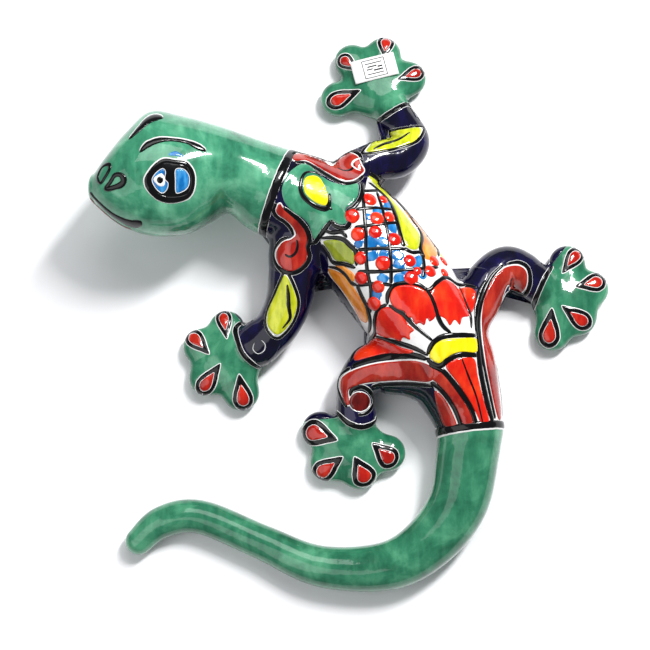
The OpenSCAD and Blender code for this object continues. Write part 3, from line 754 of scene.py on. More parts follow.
class Enamel:
    """One piece of enamel: any number of fields and lines in one colour."""

    def __init__(self, name, material, slot, *nodes):
        self.name, self.material, self.slot, self.nodes = name, material, slot, nodes
        self.points = []
        self.faces = []
        LAYERS.append(self)

    def add(self, points, faces):
        start = len(self.points)
        self.points.extend(points)
        self.faces.extend([tuple(start + i for i in f) for f in faces])

    def field(self, outline, thick, view=FRONT, wobble=0.12):
        """A filled shape with a soft, rounded edge, which wobbles by some millimetres."""
        loop = resample(spline(outline, STEPS, closed=True), SPACING, closed=True)
        for i, p in enumerate(loop):
            shake = noise.noise(Vector((p[0] * 0.55, p[1] * 0.55, 3.0)))
            loop[i] = p + wobble * shake * np.array([1.0, -1.0])
        low, high = loop.min(0), loop.max(0)
        gap = SPACING * 1.25
        cols = np.arange(low[0], high[0], gap)
        rows = np.arange(low[1], high[1], gap * TRIANGLE)
        inner = np.array([(x + (j % 2) * gap / 2, y) for j, y in enumerate(rows) for x in cols])
        inner = inner[inside_distance(inner, loop) > SPACING * 0.95]
        tangent = np.roll(loop, -1, 0) - np.roll(loop, 1, 0)
        normal = np.stack([-tangent[:, 1], tangent[:, 0]], 1)
        normal /= np.maximum(np.linalg.norm(normal, axis=1), 1e-6)[:, None]
        ring = loop + normal * RING
        depth = inside_distance(ring, loop)
        if (depth > 0).sum() < len(loop) / 2:
            ring = loop - normal * RING
            depth = inside_distance(ring, loop)
        flat = np.concatenate([loop, ring[depth > 0.25], inner])
        n = len(loop)
        sides = [(i, (i + 1) % n) for i in range(n)]
        out, _, tris, _, _, _ = delaunay_2d_cdt([Vector(p) for p in flat.tolist()], sides, [], 1,
                                                1e-4)
        flat = np.array([(p.x, p.y) for p in out])
        depth = inside_distance(flat, loop)
        rise = thick * np.sqrt(np.clip(1 - (1 - np.clip(depth / ROUND_EDGE, 0, 1)) ** 2, 0, 1))
        top, under = [], []
        for p, h, d in zip(flat, rise, depth):
            at, normal = surface.seen(p[0], p[1], view)
            h += 0.05 * noise.noise(Vector(at) * 0.35) * min(max(d, 0.0), 1.0)
            top.append(at + normal * (h - 0.04))
            under.append(at - normal * SINK)
        used = {}    # the triangles' sides, in the order in which they come up
        faces = []
        m = len(flat)
        for tri in tris:
            a, b, c = (flat[i] for i in tri)
            mid = (a + b + c) / 3
            if inside_distance(mid[None, :], loop)[0] < 0:
                continue
            if np.cross(b - a, c - a) < 0:
                tri = tri[::-1]
            faces.append(tuple(tri))
            for i in range(3):
                used[tri[i], tri[(i + 1) % 3]] = True
        under_faces = [tuple(m + i for i in reversed(tri)) for tri in faces]
        walls = [(s[0], m + s[0], m + s[1], s[1]) for s in used if (s[1], s[0]) not in used]
        self.add(top + under, faces + under_faces + walls)

    def line(self, path, width, thick, view=FRONT, closed=False):
        """A raised line. The width is one number, or one for each point of the path."""
        rows = np.column_stack([path, np.broadcast_to(np.asarray(width, float), len(path))])
        rows = resample(spline(rows, STEPS, closed), SPACING, closed)
        laid = [surface.seen(u, v, view) for u, v, _ in rows]
        self.ribbon(laid, rows[:, 2], thick, closed)

    def ribbon(self, laid, widths, thick, closed):
        """A domed strip over points of the skin, given as (point, normal)."""
        n = len(laid)
        at = np.array([p for p, _ in laid])
        points = []
        faces = []
        across = np.array([-1.0, -0.86, -0.5, 0.0, 0.5, 0.86, 1.0])
        lift = np.sqrt(1.0 - across ** 2)
        count = len(across) + 1
        for i, (p, normal) in enumerate(laid):
            after = at[(i + 1) % n] if closed else at[min(i + 1, n - 1)]
            before = at[(i - 1) % n] if closed else at[max(i - 1, 0)]
            side = np.cross(normal, after - before)
            side /= max(np.linalg.norm(side), 1e-6)
            w = widths[i] / 2 * (1 + LINE_WOBBLE * noise.noise(Vector(p) * 0.45))
            end = 1.0
            if not closed:
                end = min(1.0, math.sqrt(min(i, n - 1 - i) / 1.6 + 0.12))
            for s, h in zip(across, lift):
                spot, up = surface.near(p + side * s * w * end)
                points.append(spot + up * (thick * h * end - 0.05))
            points.append(p - normal * SINK)
        for i in range(n if closed else n - 1):
            a, b = i * count, ((i + 1) % n) * count
            for k in range(count):
                m = (k + 1) % count
                faces.append((a + k, a + m, b + m, b + k))
        if not closed:
            faces.append(tuple(range(count - 1, -1, -1)))
            faces.append(tuple((n - 1) * count + k for k in range(count)))
        self.add(points, faces)

    def dome(self, u, v, radius, high, view=FRONT):
        """A round, raised dot."""
        at, normal = surface.seen(u, v, view)
        side = np.cross(normal, [1.0, 0.0, 0.1])
        side /= np.linalg.norm(side)
        along = np.cross(side, normal)
        points = [at + normal * high]
        faces = []
        n = SIDES
        for t, h in ((0.3, 0.94), (0.6, 0.76), (0.85, 0.45), (1.0, -0.1)):
            for k in range(n):
                a = 2 * math.pi * k / n
                r = radius * t * (1 + 0.06 * noise.noise(Vector((u + math.cos(a), v, a))))
                flat = at + along * math.cos(a) * r + side * math.sin(a) * r
                spot, up = surface.near(flat)
                points.append(spot + up * high * h)
        points.append(at - normal * 0.4)
        for k in range(n):
            m = (k + 1) % n
            faces.append((0, 1 + k, 1 + m))
            for row in range(3):
                a, b = 1 + row * n, 1 + (row + 1) * n
                faces.append((a + k, b + k, b + m, a + m))
            faces.append((1 + 3 * n + k, len(points) - 1, 1 + 3 * n + m))
        self.add(points, faces)

    def build(self):
        obj = mesh_object(self.name, self.points, self.faces)
        tidy = bmesh.new()
        tidy.from_mesh(obj.data)
        bmesh.ops.recalc_face_normals(tidy, faces=tidy.faces)
        tidy.to_mesh(obj.data)
        tidy.free()
        obj.data.materials.append(self.material)
        finish_piece(obj, self.slot, *self.nodes)


def finish_piece(obj, slot, *nodes):
    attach(obj, "root")
    for node in nodes:
        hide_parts(node)


LOW_FLANK = 12 * MM    # below this height the trunk is dark
DARK_COLLAR = 9.0      # how far the dark glaze reaches behind the neck joint, in millimetres
BARE = 0.8 * MM        # the unglazed clay that rests on the wall
DOWNWARD = -0.1        # faces that turn down this far are dark too
TO_WALL = -0.8         # and these lie flat on the wall


def lower_glazes(obj, flank=None):
    """Give a piece a bare clay underside and, on the trunk, a dark lower flank."""
    faces = obj.data.polygons
    centre = np.empty(len(faces) * 3)
    normal = np.empty(len(faces) * 3)
    faces.foreach_get("center", centre)
    faces.foreach_get("normal", normal)
    centre = centre.reshape(-1, 3)
    height, facing = centre[:, 2], normal[2::3]
    index = np.zeros(len(faces), np.int32)
    if flank:
        obj.data.materials.append(flank)
        collar = plane_value(TORSO[0], NECK_DIR, centre / MM) < DARK_COLLAR
        index[(height < LOW_FLANK) | (facing < DOWNWARD) | collar] = 1
    obj.data.materials.append(CLAY)
    index[(height < BARE) & (facing < TO_WALL)] = len(obj.data.materials) - 1
    faces.foreach_set("material_index", index)


# ----------------------------------------------------------------------------- build the body

STEP = 0.9
body = body_grid(STEP)
hollow(body)
points, quads = surface_nets(body)
points = relax(points, quads, 6)
points, parts = split_body(points, quads)
surface = Surface(points, quads)
PIECE_GLAZE = {"head_shell": (GREEN, "green_glaze"), "torso_shell": (WHITE, "white_glaze")}
for node, (faces, caps) in parts.items():
    plain = (NAVY, "navy_glaze") if node.endswith("_leg") else (DEEP_GREEN, "green_glaze")
    material, slot = PIECE_GLAZE.get(node, plain)
    obj = mesh_object(node.removesuffix("_shell") + "_clay", points, faces.tolist() + caps)
    obj.data.materials.append(material)
    lower_glazes(obj, NAVY if node == "torso_shell" else None)
    finish_piece(obj, slot, node)
plate_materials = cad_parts["belly_plate"].data.materials
plate_materials.clear()
plate_materials.append(CLAY)

# --------------------------------------------------------------------------- painted designs
# Outlines are points of the wall plane, in millimetres, as seen by the camera.

black = Enamel("outline_lines", BLACK, "black_line")
halo = Enamel("white_edges", WHITE, "white_glaze")
face = Enamel("face_lines_black", BLACK, "black_line", "face_lines")
eye_white = Enamel("left_eye_white", WHITE, "white_glaze", "left_eye")
eye_blue = Enamel("left_eye_blue", BLUE, "eye_glaze", "left_eye")
eye_black = Enamel("left_eye_black", BLACK, "black_line", "left_eye")
brick = Enamel("scrolls_brick", BRICK, "brick_glaze", "shoulder_scrolls", "hip_scrolls")
green = Enamel("shoulder_green", GREEN, "green_glaze", "shoulder_glaze")
lime = Enamel("leaves_lime", LIME, "olive_glaze", "leg_leaves", "shoulder_glaze")
orange = Enamel("strips_orange", ORANGE, "orange_glaze", "side_strips")
yellow = Enamel("strips_yellow", YELLOW, "yellow_glaze", "side_strips", "flower_heart")
olive = Enamel("strips_olive", OLIVE, "olive_glaze", "side_strips")
red = Enamel("petals_red", RED, "red_glaze", "petals")
dots = Enamel("back_dots_red", RED, "red_glaze", "back_dots")
blue = Enamel("back_blots_blue", BLUE, "eye_glaze", "back_dots")
navy = Enamel("hip_navy", NAVY, "navy_glaze", "hip_scrolls")
oxblood = Enamel("dark_red_marks", OXBLOOD, "brick_glaze", "petals")


BOLD = 1.5         # how much heavier a brushed line comes out than it is drawn
EDGE_SHARE = 1.2   # width of a white edge, both sides together, for an edge of 1


def stroke(path, width, edge=0.0, thick=0.55, closed=False):
    """A black line, with a thin white line along both sides where it crosses a dark ground."""
    width = np.asarray(width, float) * BOLD
    black.line(path, width, thick, closed=closed)
    if edge:
        halo.line(path, width + EDGE_SHARE * edge, thick * 0.62, closed=closed)


def grown(outline, amount):
    """A closed outline, pushed outward by some millimetres."""
    p = np.asarray(outline, float)
    along = np.roll(p, -1, 0) - np.roll(p, 1, 0)
    out = np.stack([along[:, 1], -along[:, 0]], 1)
    out /= np.maximum(np.linalg.norm(out, axis=1), 1e-6)[:, None]
    q = np.roll(p, -1, 0)
    turn = np.sign((p[:, 0] * q[:, 1] - q[:, 0] * p[:, 1]).sum())
    return p + out * turn * amount


def bordered(layer, outline, edge, thick, grow=0.35):
    """A filled shape, a little larger than it is drawn, with or without a thin white border."""
    outline = grown(outline, grow)
    layer.field(outline, thick)
    if edge:
        halo.line(outline, EDGE_SHARE * edge + 0.5, thick * 0.6, closed=True)


# Face. The left eye is drawn from the front, and the right eye is its mirror image on the
# far side of the head, which the front view does not show.
EYE_CENTRE = (-98.4, 70.2)
EYE_RING = [(-110.6, 68.9), (-108.7, 75.1), (-102.5, 80.9), (-96, 80.6), (-89.7, 79.3),
            (-86.5, 74.1), (-86.1, 68), (-87.9, 62.7), (-92.3, 60.3), (-99.4, 59.7),
            (-105.8, 62.3)]
LENSES = ([(-108, 70.8), (-105.8, 74.7), (-102.4, 77), (-100.8, 75.1), (-101.2, 71.3),
           (-99.4, 68.9), (-100, 65.3), (-102.5, 63.4), (-106, 66.2)],
          [(-95.4, 76.4), (-91.3, 76.7), (-88.4, 73.4), (-88, 68.9), (-89.6, 65.5),
           (-93.6, 63.4), (-95.2, 64.2), (-95.5, 70.5)])
PUPIL_WHITE = [(-107.6, 70.9), (-105.4, 73.6), (-102.5, 74.5), (-100.7, 71.1), (-101.3, 67.3),
               (-104.5, 67.1)]
BROW = [(-114.9, 85.9), (-111, 90.1), (-104.7, 92.8), (-97.6, 93.1), (-89.6, 91.8),
        (-83.5, 89.1), (-79.1, 86.6)]


def paint_eye(view, place, white, blue, ink):
    """One eye. The function place moves a point of the left eye to the view."""
    ring = [place(p) for p in EYE_RING]
    ink.field(ring, 0.3, view=view)
    ink.line(ring, [3, 2.7, 2.8, 2.6, 2.6, 2.8, 2.6, 2.6, 3.2, 3.6, 3.4], 0.6, closed=True,
             view=view)
    white.line(ring, 4, 0.35, closed=True, view=view)
    for lens in LENSES:
        lens = [place(p) for p in lens]
        blue.field(lens, 0.45, wobble=0.2, view=view)
        white.line(lens, 0.5, 0.55, closed=True, view=view)
    white.field([place(p) for p in PUPIL_WHITE], 0.56, view=view)
    ink.dome(*place((-103.7, 70.7)), 2.3, 0.85, view=view)
    blue.line([place(p) for p in ((-99.4, 84.6), (-95.4, 85.4), (-91, 83.4))],
              [1.2, 2.6, 0.8], 0.14, view=view)


def brow(path, widths):
    """A black brow with a fine white line above it."""
    face.line(path, widths, 0.6)
    halo.line([(u, v + 0.5) for u, v in path], np.add(widths, 0.5), 0.35)


brow(BROW, [1, 3.4, 3.2, 2.2, 2.4, 3.6, 1.6])
brow([(-120.9, 93.2), (-117.6, 96.8), (-114, 100.8), (-110.6, 104), (-106.4, 105.8),
      (-102.6, 105.2)], [1.4, 3, 4.2, 5.6, 6.4, 3])
paint_eye(FRONT, lambda p: p, eye_white, eye_blue, eye_black)
FAR_EYE_AT, FAR_EYE_OUT = surface.near((-110, 90, 38))
FAR_ACROSS = np.cross([0, 0, 1], FAR_EYE_OUT)
FAR_ACROSS *= -np.sign(FAR_EYE_OUT[1]) / np.linalg.norm(FAR_ACROSS)
FAR_UP = np.cross(FAR_ACROSS, FAR_EYE_OUT)
FAR_UP *= np.sign(FAR_UP[2])
FAR_SIDE = View(FAR_EYE_AT + FAR_EYE_OUT * CAMERA_DISTANCE, FAR_EYE_AT, FAR_ACROSS, FAR_UP)
FAR_SCALE = 0.8    # the left eye is drawn larger, as it's seen on a slope


def on_far_side(p):
    return FAR_SCALE * (p[0] - EYE_CENTRE[0]), FAR_SCALE * (p[1] - EYE_CENTRE[1])


far_white = Enamel("right_eye_white", WHITE, "white_glaze", "right_eye")
far_blue = Enamel("right_eye_blue", BLUE, "eye_glaze", "right_eye")
far_black = Enamel("right_eye_black", BLACK, "black_line", "right_eye")
paint_eye(FAR_SIDE, on_far_side, far_white, far_blue, far_black)
NOSTRILS = ([(-137.4, 71.8), (-136.3, 75.7), (-134.1, 78.7), (-131.3, 79.3), (-131.2, 76.4),
             (-133.6, 71.8), (-135.8, 68.9)],
            [(-132.9, 65.6), (-130.4, 69.5), (-128, 73.4), (-124.8, 73.4), (-123.2, 70.8),
             (-124.4, 68.2), (-128.2, 66.6)])
face.line(NOSTRILS[0], [1.9, 1.9, 2.1, 2.3, 2, 1.8, 1.8], 0.5, closed=True)
face.line(NOSTRILS[1], [2.4, 2.2, 2.4, 2.8, 3.4, 3.2, 2.8], 0.6, closed=True)
face.line([(-141.1, 64), (-138.8, 60.7), (-134.6, 56.5), (-129.4, 51.9), (-123, 48.1),
           (-117.3, 46.2), (-113.4, 47.9)], [2, 2.6, 3.2, 4.2, 5.6, 7, 3.6], 0.6)
oxblood.line([(-141.4, 61), (-138.6, 57.6), (-134.4, 53.6), (-129.2, 49.2), (-123.2, 45.2),
              (-118.4, 43.4)], [1.4, 3, 3.8, 4, 4.2, 2], 0.35)

# Dark grounds between the painted fields of the trunk.
for ground in (
        [(-33.2, 86), (-24, 89.4), (-12, 86.8), (-3, 89.4), (6.6, 87.4), (9.4, 79),
         (7.6, 70), (5.6, 60.4), (-0.6, 54), (-1, 44), (-10.4, 42.6), (-14.6, 42.6),
         (-18.6, 34.6), (-24, 40), (-37.6, 52.8), (-41.6, 62.6), (-36.6, 76.6)],
        [(-42.6, 61.6), (-37.5, 57.5), (-30.5, 50), (-24, 41), (-18.4, 40.9),
         (-16.8, 35.6), (-14, 30.6), (-13, 24), (-13.6, 18), (-15, 8),
         (-24, 12), (-28, 22), (-40, 20), (-50, 28), (-57, 36),
         (-50, 43), (-46.4, 52)],
        [(-14.2, 20), (-11.4, 16.8), (-6, 10), (-0.9, 2), (3.6, -6), (6.6, -14),
         (2, -15), (-4, -7), (-10, 3), (-15, 11)],
        [(40.6, -39.6), (43.6, -45), (46.2, -53), (48.2, -62.4), (44, -64),
         (38.6, -64), (35, -57.5), (30.5, -50), (25, -44), (26, -40.2), (33, -39.6)],
        [(84.6, 8.6), (80, 3.4), (76.6, -7), (75.8, -20.4), (76.6, -33.2), (78, -46),
         (78.6, -58), (84.6, -57), (83, -44), (81.4, -30), (81.4, -16),
         (84, -5), (88, 4.6)],
        [(52.4, 25.4), (57, 27), (64, 23.6), (72, 21), (69.6, 13), (66.4, 9.8),
         (65.4, 12.4), (60, 14), (56.6, 15.6), (53.6, 19.6)]):
    navy.field(ground, 0.16, wobble=0.3)

# Shoulder.
green.field([(-28.4, 79.5), (-23.5, 79.5), (-20.3, 76.2), (-17.1, 73.4), (-12.2, 70.1),
             (-5.8, 68.4), (2.3, 69), (3.4, 65.1), (2.3, 60.7), (-1, 56.8), (-3.7, 54.6),
             (-3.1, 47.4), (-6.9, 45.8), (-11.2, 48), (-14.4, 46.4), (-17.6, 42),
             (-20.8, 37.8), (-23.5, 45.3), (-26.7, 49.1), (-31.5, 52.4), (-35.9, 56.8),
             (-38, 61.8), (-38, 67.3), (-34.8, 74.5)], 0.3)
stroke([(-24.6, 37), (-20.8, 36), (-17.2, 40.4), (-14, 44.8), (-11.4, 48.6)],
       [1, 1.6, 1.8, 1.8, 1.2], 0.3)
stroke([(-11.4, 48.8), (-9.6, 45.4), (-4, 44.2), (-1.6, 47.8), (-2.2, 53.6), (0.6, 55.6),
        (4, 60.4), (5.2, 66), (4.2, 70)], [1, 1.6, 1.8, 1.8, 1.7, 1.7, 1.6, 1.6, 1.2],
       0.3)
DROP = [(-26.2, 69.5), (-24.6, 72.3), (-20.3, 72.9), (-17.1, 70.6), (-14.4, 64.6),
        (-13.3, 60.7), (-14.4, 56.8), (-18.1, 57.4), (-22.4, 60.1), (-25.7, 64)]
bordered(yellow, DROP, 0.3, 0.5)
stroke([(-12.4, 63.6), (-12.8, 57), (-14.6, 54.8), (-19, 55.6), (-24, 58.8),
        (-27.6, 63.4), (-28, 69.4), (-25.6, 74.4), (-20.6, 74.8), (-16.4, 72.2)],
       [0.9, 2, 2.4, 2.1, 2, 2, 1.5, 1.2, 1, 0.7], 0.35)
stroke([(-14.4, 56), (-10.6, 54.1)], [2, 0.8], 0.3)
SCROLL_TOP = [(-31.6, 84.6), (-24.1, 85.4), (-18.2, 83.2), (-13.8, 80), (-9.6, 79.2),
              (-6.8, 83.4), (-1.8, 85.4), (2.6, 83.6), (4.2, 79.4), (5.8, 75.6), (1.2, 71.4),
              (-3.6, 70.4), (-7.9, 71.6), (-13.8, 74.9), (-19.2, 78.2), (-25.2, 81.6),
              (-31.6, 81.4)]
bordered(brick, SCROLL_TOP, 0.6, 0.45)
stroke([(-31.8, 80.4), (-25.2, 80.2), (-19.2, 76.8), (-13.8, 73.2), (-7.9, 69.8),
        (-3.6, 68.6), (2, 69.8), (6, 73.4)], [1.4, 1.8, 2, 2.2, 2.1, 1.9, 1.6, 1.2], 0.3)
stroke([(-31.8, 85.9), (-24.1, 86.6), (-17.6, 84.4), (-12.6, 80.8), (-9.6, 80.6),
        (-7.2, 84.6), (-2, 86.8), (3.4, 85), (5.2, 80.4)],
       [1.2, 1.6, 1.9, 1.8, 1.5, 1.7, 1.8, 1.6, 1], 0.35)
stroke([(-9.4, 77.6), (-4.7, 75.6), (-0.8, 76.4), (0.6, 79), (-1.4, 80.9)],
       [1.6, 1.8, 1.6, 1.4, 0.9])
halo.line([(5.4, 83), (1.4, 81.6), (-0.4, 79), (1.6, 76.8), (4.8, 75.6)],
          [0.8, 1.6, 1.9, 1.5, 0.8], 0.6)
halo.field([(-15.4, 82), (-12.2, 80.8), (-9.8, 78.2), (-12, 78), (-14.6, 79.6)], 0.55)
SCROLL_LEFT = [(-39.2, 57.6), (-41, 54.6), (-40, 51.6), (-35.8, 48.6), (-32.1, 44.8),
               (-30.4, 40.6), (-33, 37.8), (-37.4, 36.2), (-40.6, 31), (-40, 25.6),
               (-36.4, 21.6), (-31.6, 21), (-27, 24.2), (-24.6, 28.3), (-25.4, 33.7),
               (-24.6, 37.6), (-25.6, 42.3), (-28.6, 47), (-32.8, 51), (-36.9, 54.1)]
bordered(brick, SCROLL_LEFT, 0.6, 0.45)
stroke([(-37.6, 55.6), (-33, 51.9), (-28.4, 48), (-24.6, 42.9), (-23.2, 37.6),
        (-24.2, 33.4), (-23.2, 28.2), (-26, 23.2), (-31.2, 19.8), (-37, 20.4),
        (-41.4, 25), (-42.2, 31.2), (-38.8, 37), (-34.2, 39.2)],
       [1.2, 1.8, 2.2, 2.2, 2, 1.8, 2, 2, 1.8, 1.8, 1.8, 1.6, 1.4, 1], 0.35)
stroke([(-41, 58), (-42.6, 54.4), (-41, 50.6), (-36.4, 47.4), (-33.2, 43.8),
        (-31.8, 40)], [1.2, 1.6, 1.6, 1.6, 1.5, 1], 0.35)
stroke([(-30.2, 38.6), (-29.6, 34.6), (-30.8, 30.4), (-33.8, 28.4), (-36.8, 30.2)],
       [0.9, 1.7, 1.9, 1.7, 0.9], 0.3)

# Left flank.
bordered(olive, [(-15.5, 36.6), (-10.6, 37.4), (-5.8, 36.2), (-2.6, 33.4), (0.2, 30.2),
                 (0.2, 24.4), (-3.7, 25.9), (-9.1, 26.6), (-12.6, 31.6)], 0, 0.35)
bordered(orange, [(-12.3, 26.2), (-6.9, 24.4), (-3.2, 21.8), (0.4, 18.6), (0.2, 15.2),
                  (-2, 15.8), (-4.6, 20), (-9.1, 23.6)], 0, 0.35)
bordered(orange, [(-13, 21.6), (-6.9, 19.4), (-3.2, 15.8), (1, 10.4), (5.6, 2),
                  (7.4, -6.6), (4.4, -6), (-0.2, 2), (-5.4, 10), (-11, 17)], 0, 0.35)
stroke([(-17.4, 38.6), (-10.4, 38.9), (-5.2, 37.9), (-1.6, 34.6), (1.6, 31.2), (1.8, 23.4)],
       [0.8, 1.5, 1.7, 1.8, 1.8, 1.2])
stroke([(-16.4, 35.2), (-13.6, 30.6), (-10.6, 25.4), (-4.2, 24.2), (1.4, 22.4)],
       [0.9, 1.5, 1.8, 1.7, 1.3])
stroke([(-13.4, 23), (-8, 21.8), (-3.8, 18.6), (-0.6, 14), (2, 13.2)],
       [0.8, 1.5, 1.7, 1.6, 1.1])
stroke([(2, 13.2), (4.6, 7), (7.6, 0.4), (9, -7.6), (8, -13)],
       [1.4, 1.7, 1.8, 1.8, 1.2])
stroke([(-17, 43.6), (-11.4, 41.6), (-6.2, 42), (-3, 38.8)], [0.8, 1.4, 1.6, 1])

# Grid with blue blots and red dots on the back.
for path, width in (
        ([(5.5, 64.6), (6, 54.6), (7, 40.3), (7, 33.2), (7.5, 21.7), (9.5, 9.8),
          (9, -2.1)], 1.2),
        ([(13, 64), (16.2, 53.5), (18.3, 43.1), (19.8, 33.2), (20.3, 21.7), (20.2, 13.6)],
         1.2),
        ([(8.6, 69.4), (13, 65.8), (18.9, 59.8), (22.6, 52), (25.2, 42), (27.3, 34)],
         1.6),
        ([(27.3, 33.2), (31.6, 30.8), (36.3, 30.5), (37.9, 23.9), (37.3, 16.8)], 1.3),
        ([(5, 64.6), (13, 64.8), (14.8, 64.4)], 1.2),
        ([(1.6, 54.4), (10.4, 55.2), (21.4, 54.4)], 1.2),
        ([(0.8, 44.4), (10.4, 45.8), (25, 47.3)], 1.2),
        ([(2.6, 32.2), (14.4, 33), (28, 32.6)], 1.2),
        ([(2.4, 20.2), (20.2, 20.6), (45.6, 22.8)], 1.2),
        ([(2.4, 12.8), (12, 13.8), (21, 13)], 1.2)):
    stroke(path, width * 1.15, thick=0.45)
for u, v, r in ((18.9, 56.8, 2.4), (13, 53.2, 2.4), (20.9, 43.6, 2.6), (10.2, 36.9, 3.6),
                (16.1, 36.4, 2.6), (3.2, 35.9, 2.2), (10.4, 28.9, 2.6), (16.6, 29.9, 2.2),
                (23.6, 29.2, 2.8), (24.6, 24.5, 2.6), (34.2, 25.7, 2.8), (16, 16.6, 2.4),
                (25, 16.5, 2.8), (12.4, 7.8, 2.6), (24, 38, 1.8), (8.6, 50.2, 1.8),
                (27.6, 20.4, 2), (37, 19, 2.2)):
    turns = np.linspace(0, 2 * math.pi, 7)[:-1] + 0.4 * u
    shape = [(u + 1.25 * r * s * math.cos(a), v + 1.25 * r * s * math.sin(a))
             for a, s in zip(turns, (1.1, 0.85, 1, 1.15, 0.85, 1))]
    blue.field(shape, 0.28, wobble=0.5)
for u, v, r in ((9.2, 60.1, 3.5), (16.4, 59.9, 2.5), (-0.4, 50.8, 3.6), (12.9, 49.4, 3.5),
                (19.6, 50.4, 2.9), (2.7, 40.8, 3.4), (12, 41.9, 3.2), (22.2, 38, 3.4),
                (4, 27.7, 3.1), (16, 25, 3.6), (30.4, 26.2, 3.1), (41.2, 20.6, 3.1),
                (43.4, 26.2, 3), (48.5, 25.9, 2.7), (4.3, 16.8, 3.3), (13.4, 12, 3.1),
                (30.9, 16.8, 3.5), (48.8, 19.7, 2.4), (11.1, 2.9, 3.6), (34.2, 20.6, 2.2)):
    dots.dome(u, v, r * 1.14, 0.95)

# Strips down the right of the back.
bordered(lime, [(8.8, 73), (13.6, 69.3), (20.5, 60.4), (26.4, 53.4), (31.1, 46.8),
                (35.6, 39.8), (34.6, 33.2), (31, 32.8), (27.9, 35.6), (25.9, 42.6),
                (23.8, 51.6), (19.6, 60), (13.4, 66.6)], 0, 0.38)
bordered(orange, [(27.6, 54.2), (31.6, 51.6), (36.4, 45.8), (40.9, 39.8), (44.6, 32.1),
                  (43.9, 28), (39.3, 27.2), (37.2, 31.6), (37.2, 39.8), (32.6, 47)],
         0, 0.38)
bordered(orange, [(15, 70.2), (20.6, 63.4), (25.2, 57.6), (28.8, 55), (27.6, 58.6),
                  (21.4, 66.2)], 0, 0.3)
bordered(yellow, [(31.4, 53), (36.6, 47.6), (41.6, 41), (45.6, 33.8), (46.6, 29.6),
                  (51, 26.4), (49.8, 33), (44.6, 42), (38.2, 50.2)], 0, 0.3)
stroke([(9, 75), (14.6, 70.6), (21.6, 61.4), (27.4, 54.6), (32.2, 48), (36.9, 40.4),
        (36.2, 33), (38.4, 27.8)], [1, 1.6, 1.8, 1.8, 1.9, 1.8, 1.7, 1.4])
stroke([(27.4, 54.8), (35.8, 47), (41.4, 40), (45.4, 32.4), (45.6, 28.6)],
       [1.2, 1.7, 1.9, 1.8, 1.2])
stroke([(14, 73.4), (21.6, 67.2), (28.4, 59.6), (35, 54.4), (41.6, 47.4), (48.2, 38.2),
        (52.6, 29.6)], [1, 1.4, 1.5, 1.5, 1.6, 1.7, 1.4])

# Flower over the hips.
PETALS = (
    [(20.7, 3.3), (20.2, 7.1), (22.3, 11.2), (27.7, 12.5), (34, 11.7), (38.8, 8.6),
     (41.7, 2.5), (43.2, -3.5), (40.6, -6.2), (38.8, -4.4), (37.4, -8.2), (35.4, -6.8),
     (33, -7.8), (31.6, -4.2), (29.1, -4.4), (27.4, -0.8), (23.8, 0.4)],
    [(12.8, -12.4), (12.9, -5.9), (14.5, -0.9), (18.5, 0.5), (22.9, -1.3), (25.6, -3.8),
     (28.6, -8.4), (31.6, -11.4), (29.4, -13.2), (29.8, -16), (26.2, -14.6), (24.8, -16.8),
     (21.1, -15.2), (17, -14.6)],
    [(0.9, -26.9), (1.5, -24.1), (6.8, -19.5), (12.4, -16.2), (19.8, -18.9), (26.1, -21.5),
     (31.6, -23), (27.4, -24), (20.6, -23.2), (13.1, -24.3), (7, -25.6)],
    [(41.9, 8.8), (45.8, 13.2), (49.5, 15.3), (54.6, 11.7), (58, 3.8), (61.1, -3.3),
     (57.6, -4.2), (56.4, -8), (53.8, -5.2), (51.4, -8.4), (49.2, -4.8), (45.6, -2.8),
     (43.9, 1.4)],
    [(55.9, 10.1), (60.1, 11.2), (64.3, 9.6), (64.4, 3.5), (62.6, -1.4), (61.3, -0.7),
     (58.8, 4.4)])
for outline in PETALS:
    bordered(red, outline, 0, 0.42, grow=0.7)
stroke([(37.2, 12.4), (40.6, 8.4), (43.2, 2.7), (45.3, -4.8), (48, -9.6), (52, -12.9)],
       [1, 1.7, 1.9, 1.8, 1.6, 1])
stroke([(18.9, 2.3), (22.6, -0.5), (26.9, -3.1), (30.4, -6.8), (33.6, -9.9), (42, -17)],
       [1, 1.7, 1.9, 1.8, 1.5, 1])
stroke([(18.3, 2.5), (18.5, 7.9), (21.6, 12.5), (27.4, 14.2), (34.6, 13.4), (40.2, 10.4),
        (45.2, 14.8), (50, 17.2), (55.6, 13.4), (60, 13), (66.4, 11.4)],
       [1.2, 1.7, 1.7, 1.6, 1.5, 1.5, 1.6, 1.7, 1.6, 1.6, 1.2])
stroke([(56.4, 12), (59.2, 4.8), (62.2, -3.4), (62.6, -10.4)], [1, 1.6, 1.6, 0.8])
stroke([(18.2, 2.6), (13.6, 0), (11.4, -6), (11.3, -13.6), (6, -18.4), (0.2, -23.6),
        (-1.6, -28.4)], [1.2, 1.6, 1.7, 1.8, 1.7, 1.7, 1.2])
stroke([(11.5, -14.7), (20, -17.2), (28.4, -19.6), (34.2, -21.9), (39.6, -24.9)],
       [1.3, 1.8, 1.9, 1.6, 1])
bordered(yellow, [(41.8, -21.7), (44.3, -18.6), (49.1, -16.5), (58.1, -15.9), (64.5, -15.9),
                  (65.8, -19.3), (64.9, -23), (58, -22.7), (53.2, -23.7), (48.6, -26.4),
                  (45.4, -28.9), (42.3, -27.5), (40.4, -25.2)], 0, 0.5)
stroke([(39.4, -24.4), (40.9, -20.4), (43.6, -17), (48.4, -14.6), (57.1, -14),
        (65.2, -14.2)], [1.4, 1.9, 2, 2, 1.9, 1.6])
stroke([(38.9, -26.2), (41.8, -29.2), (45.6, -30.6), (49.6, -27.8), (53.6, -25.3),
        (58.2, -24.4), (65.6, -24.8)], [1.6, 2, 2.2, 2.1, 2, 2, 1.8])

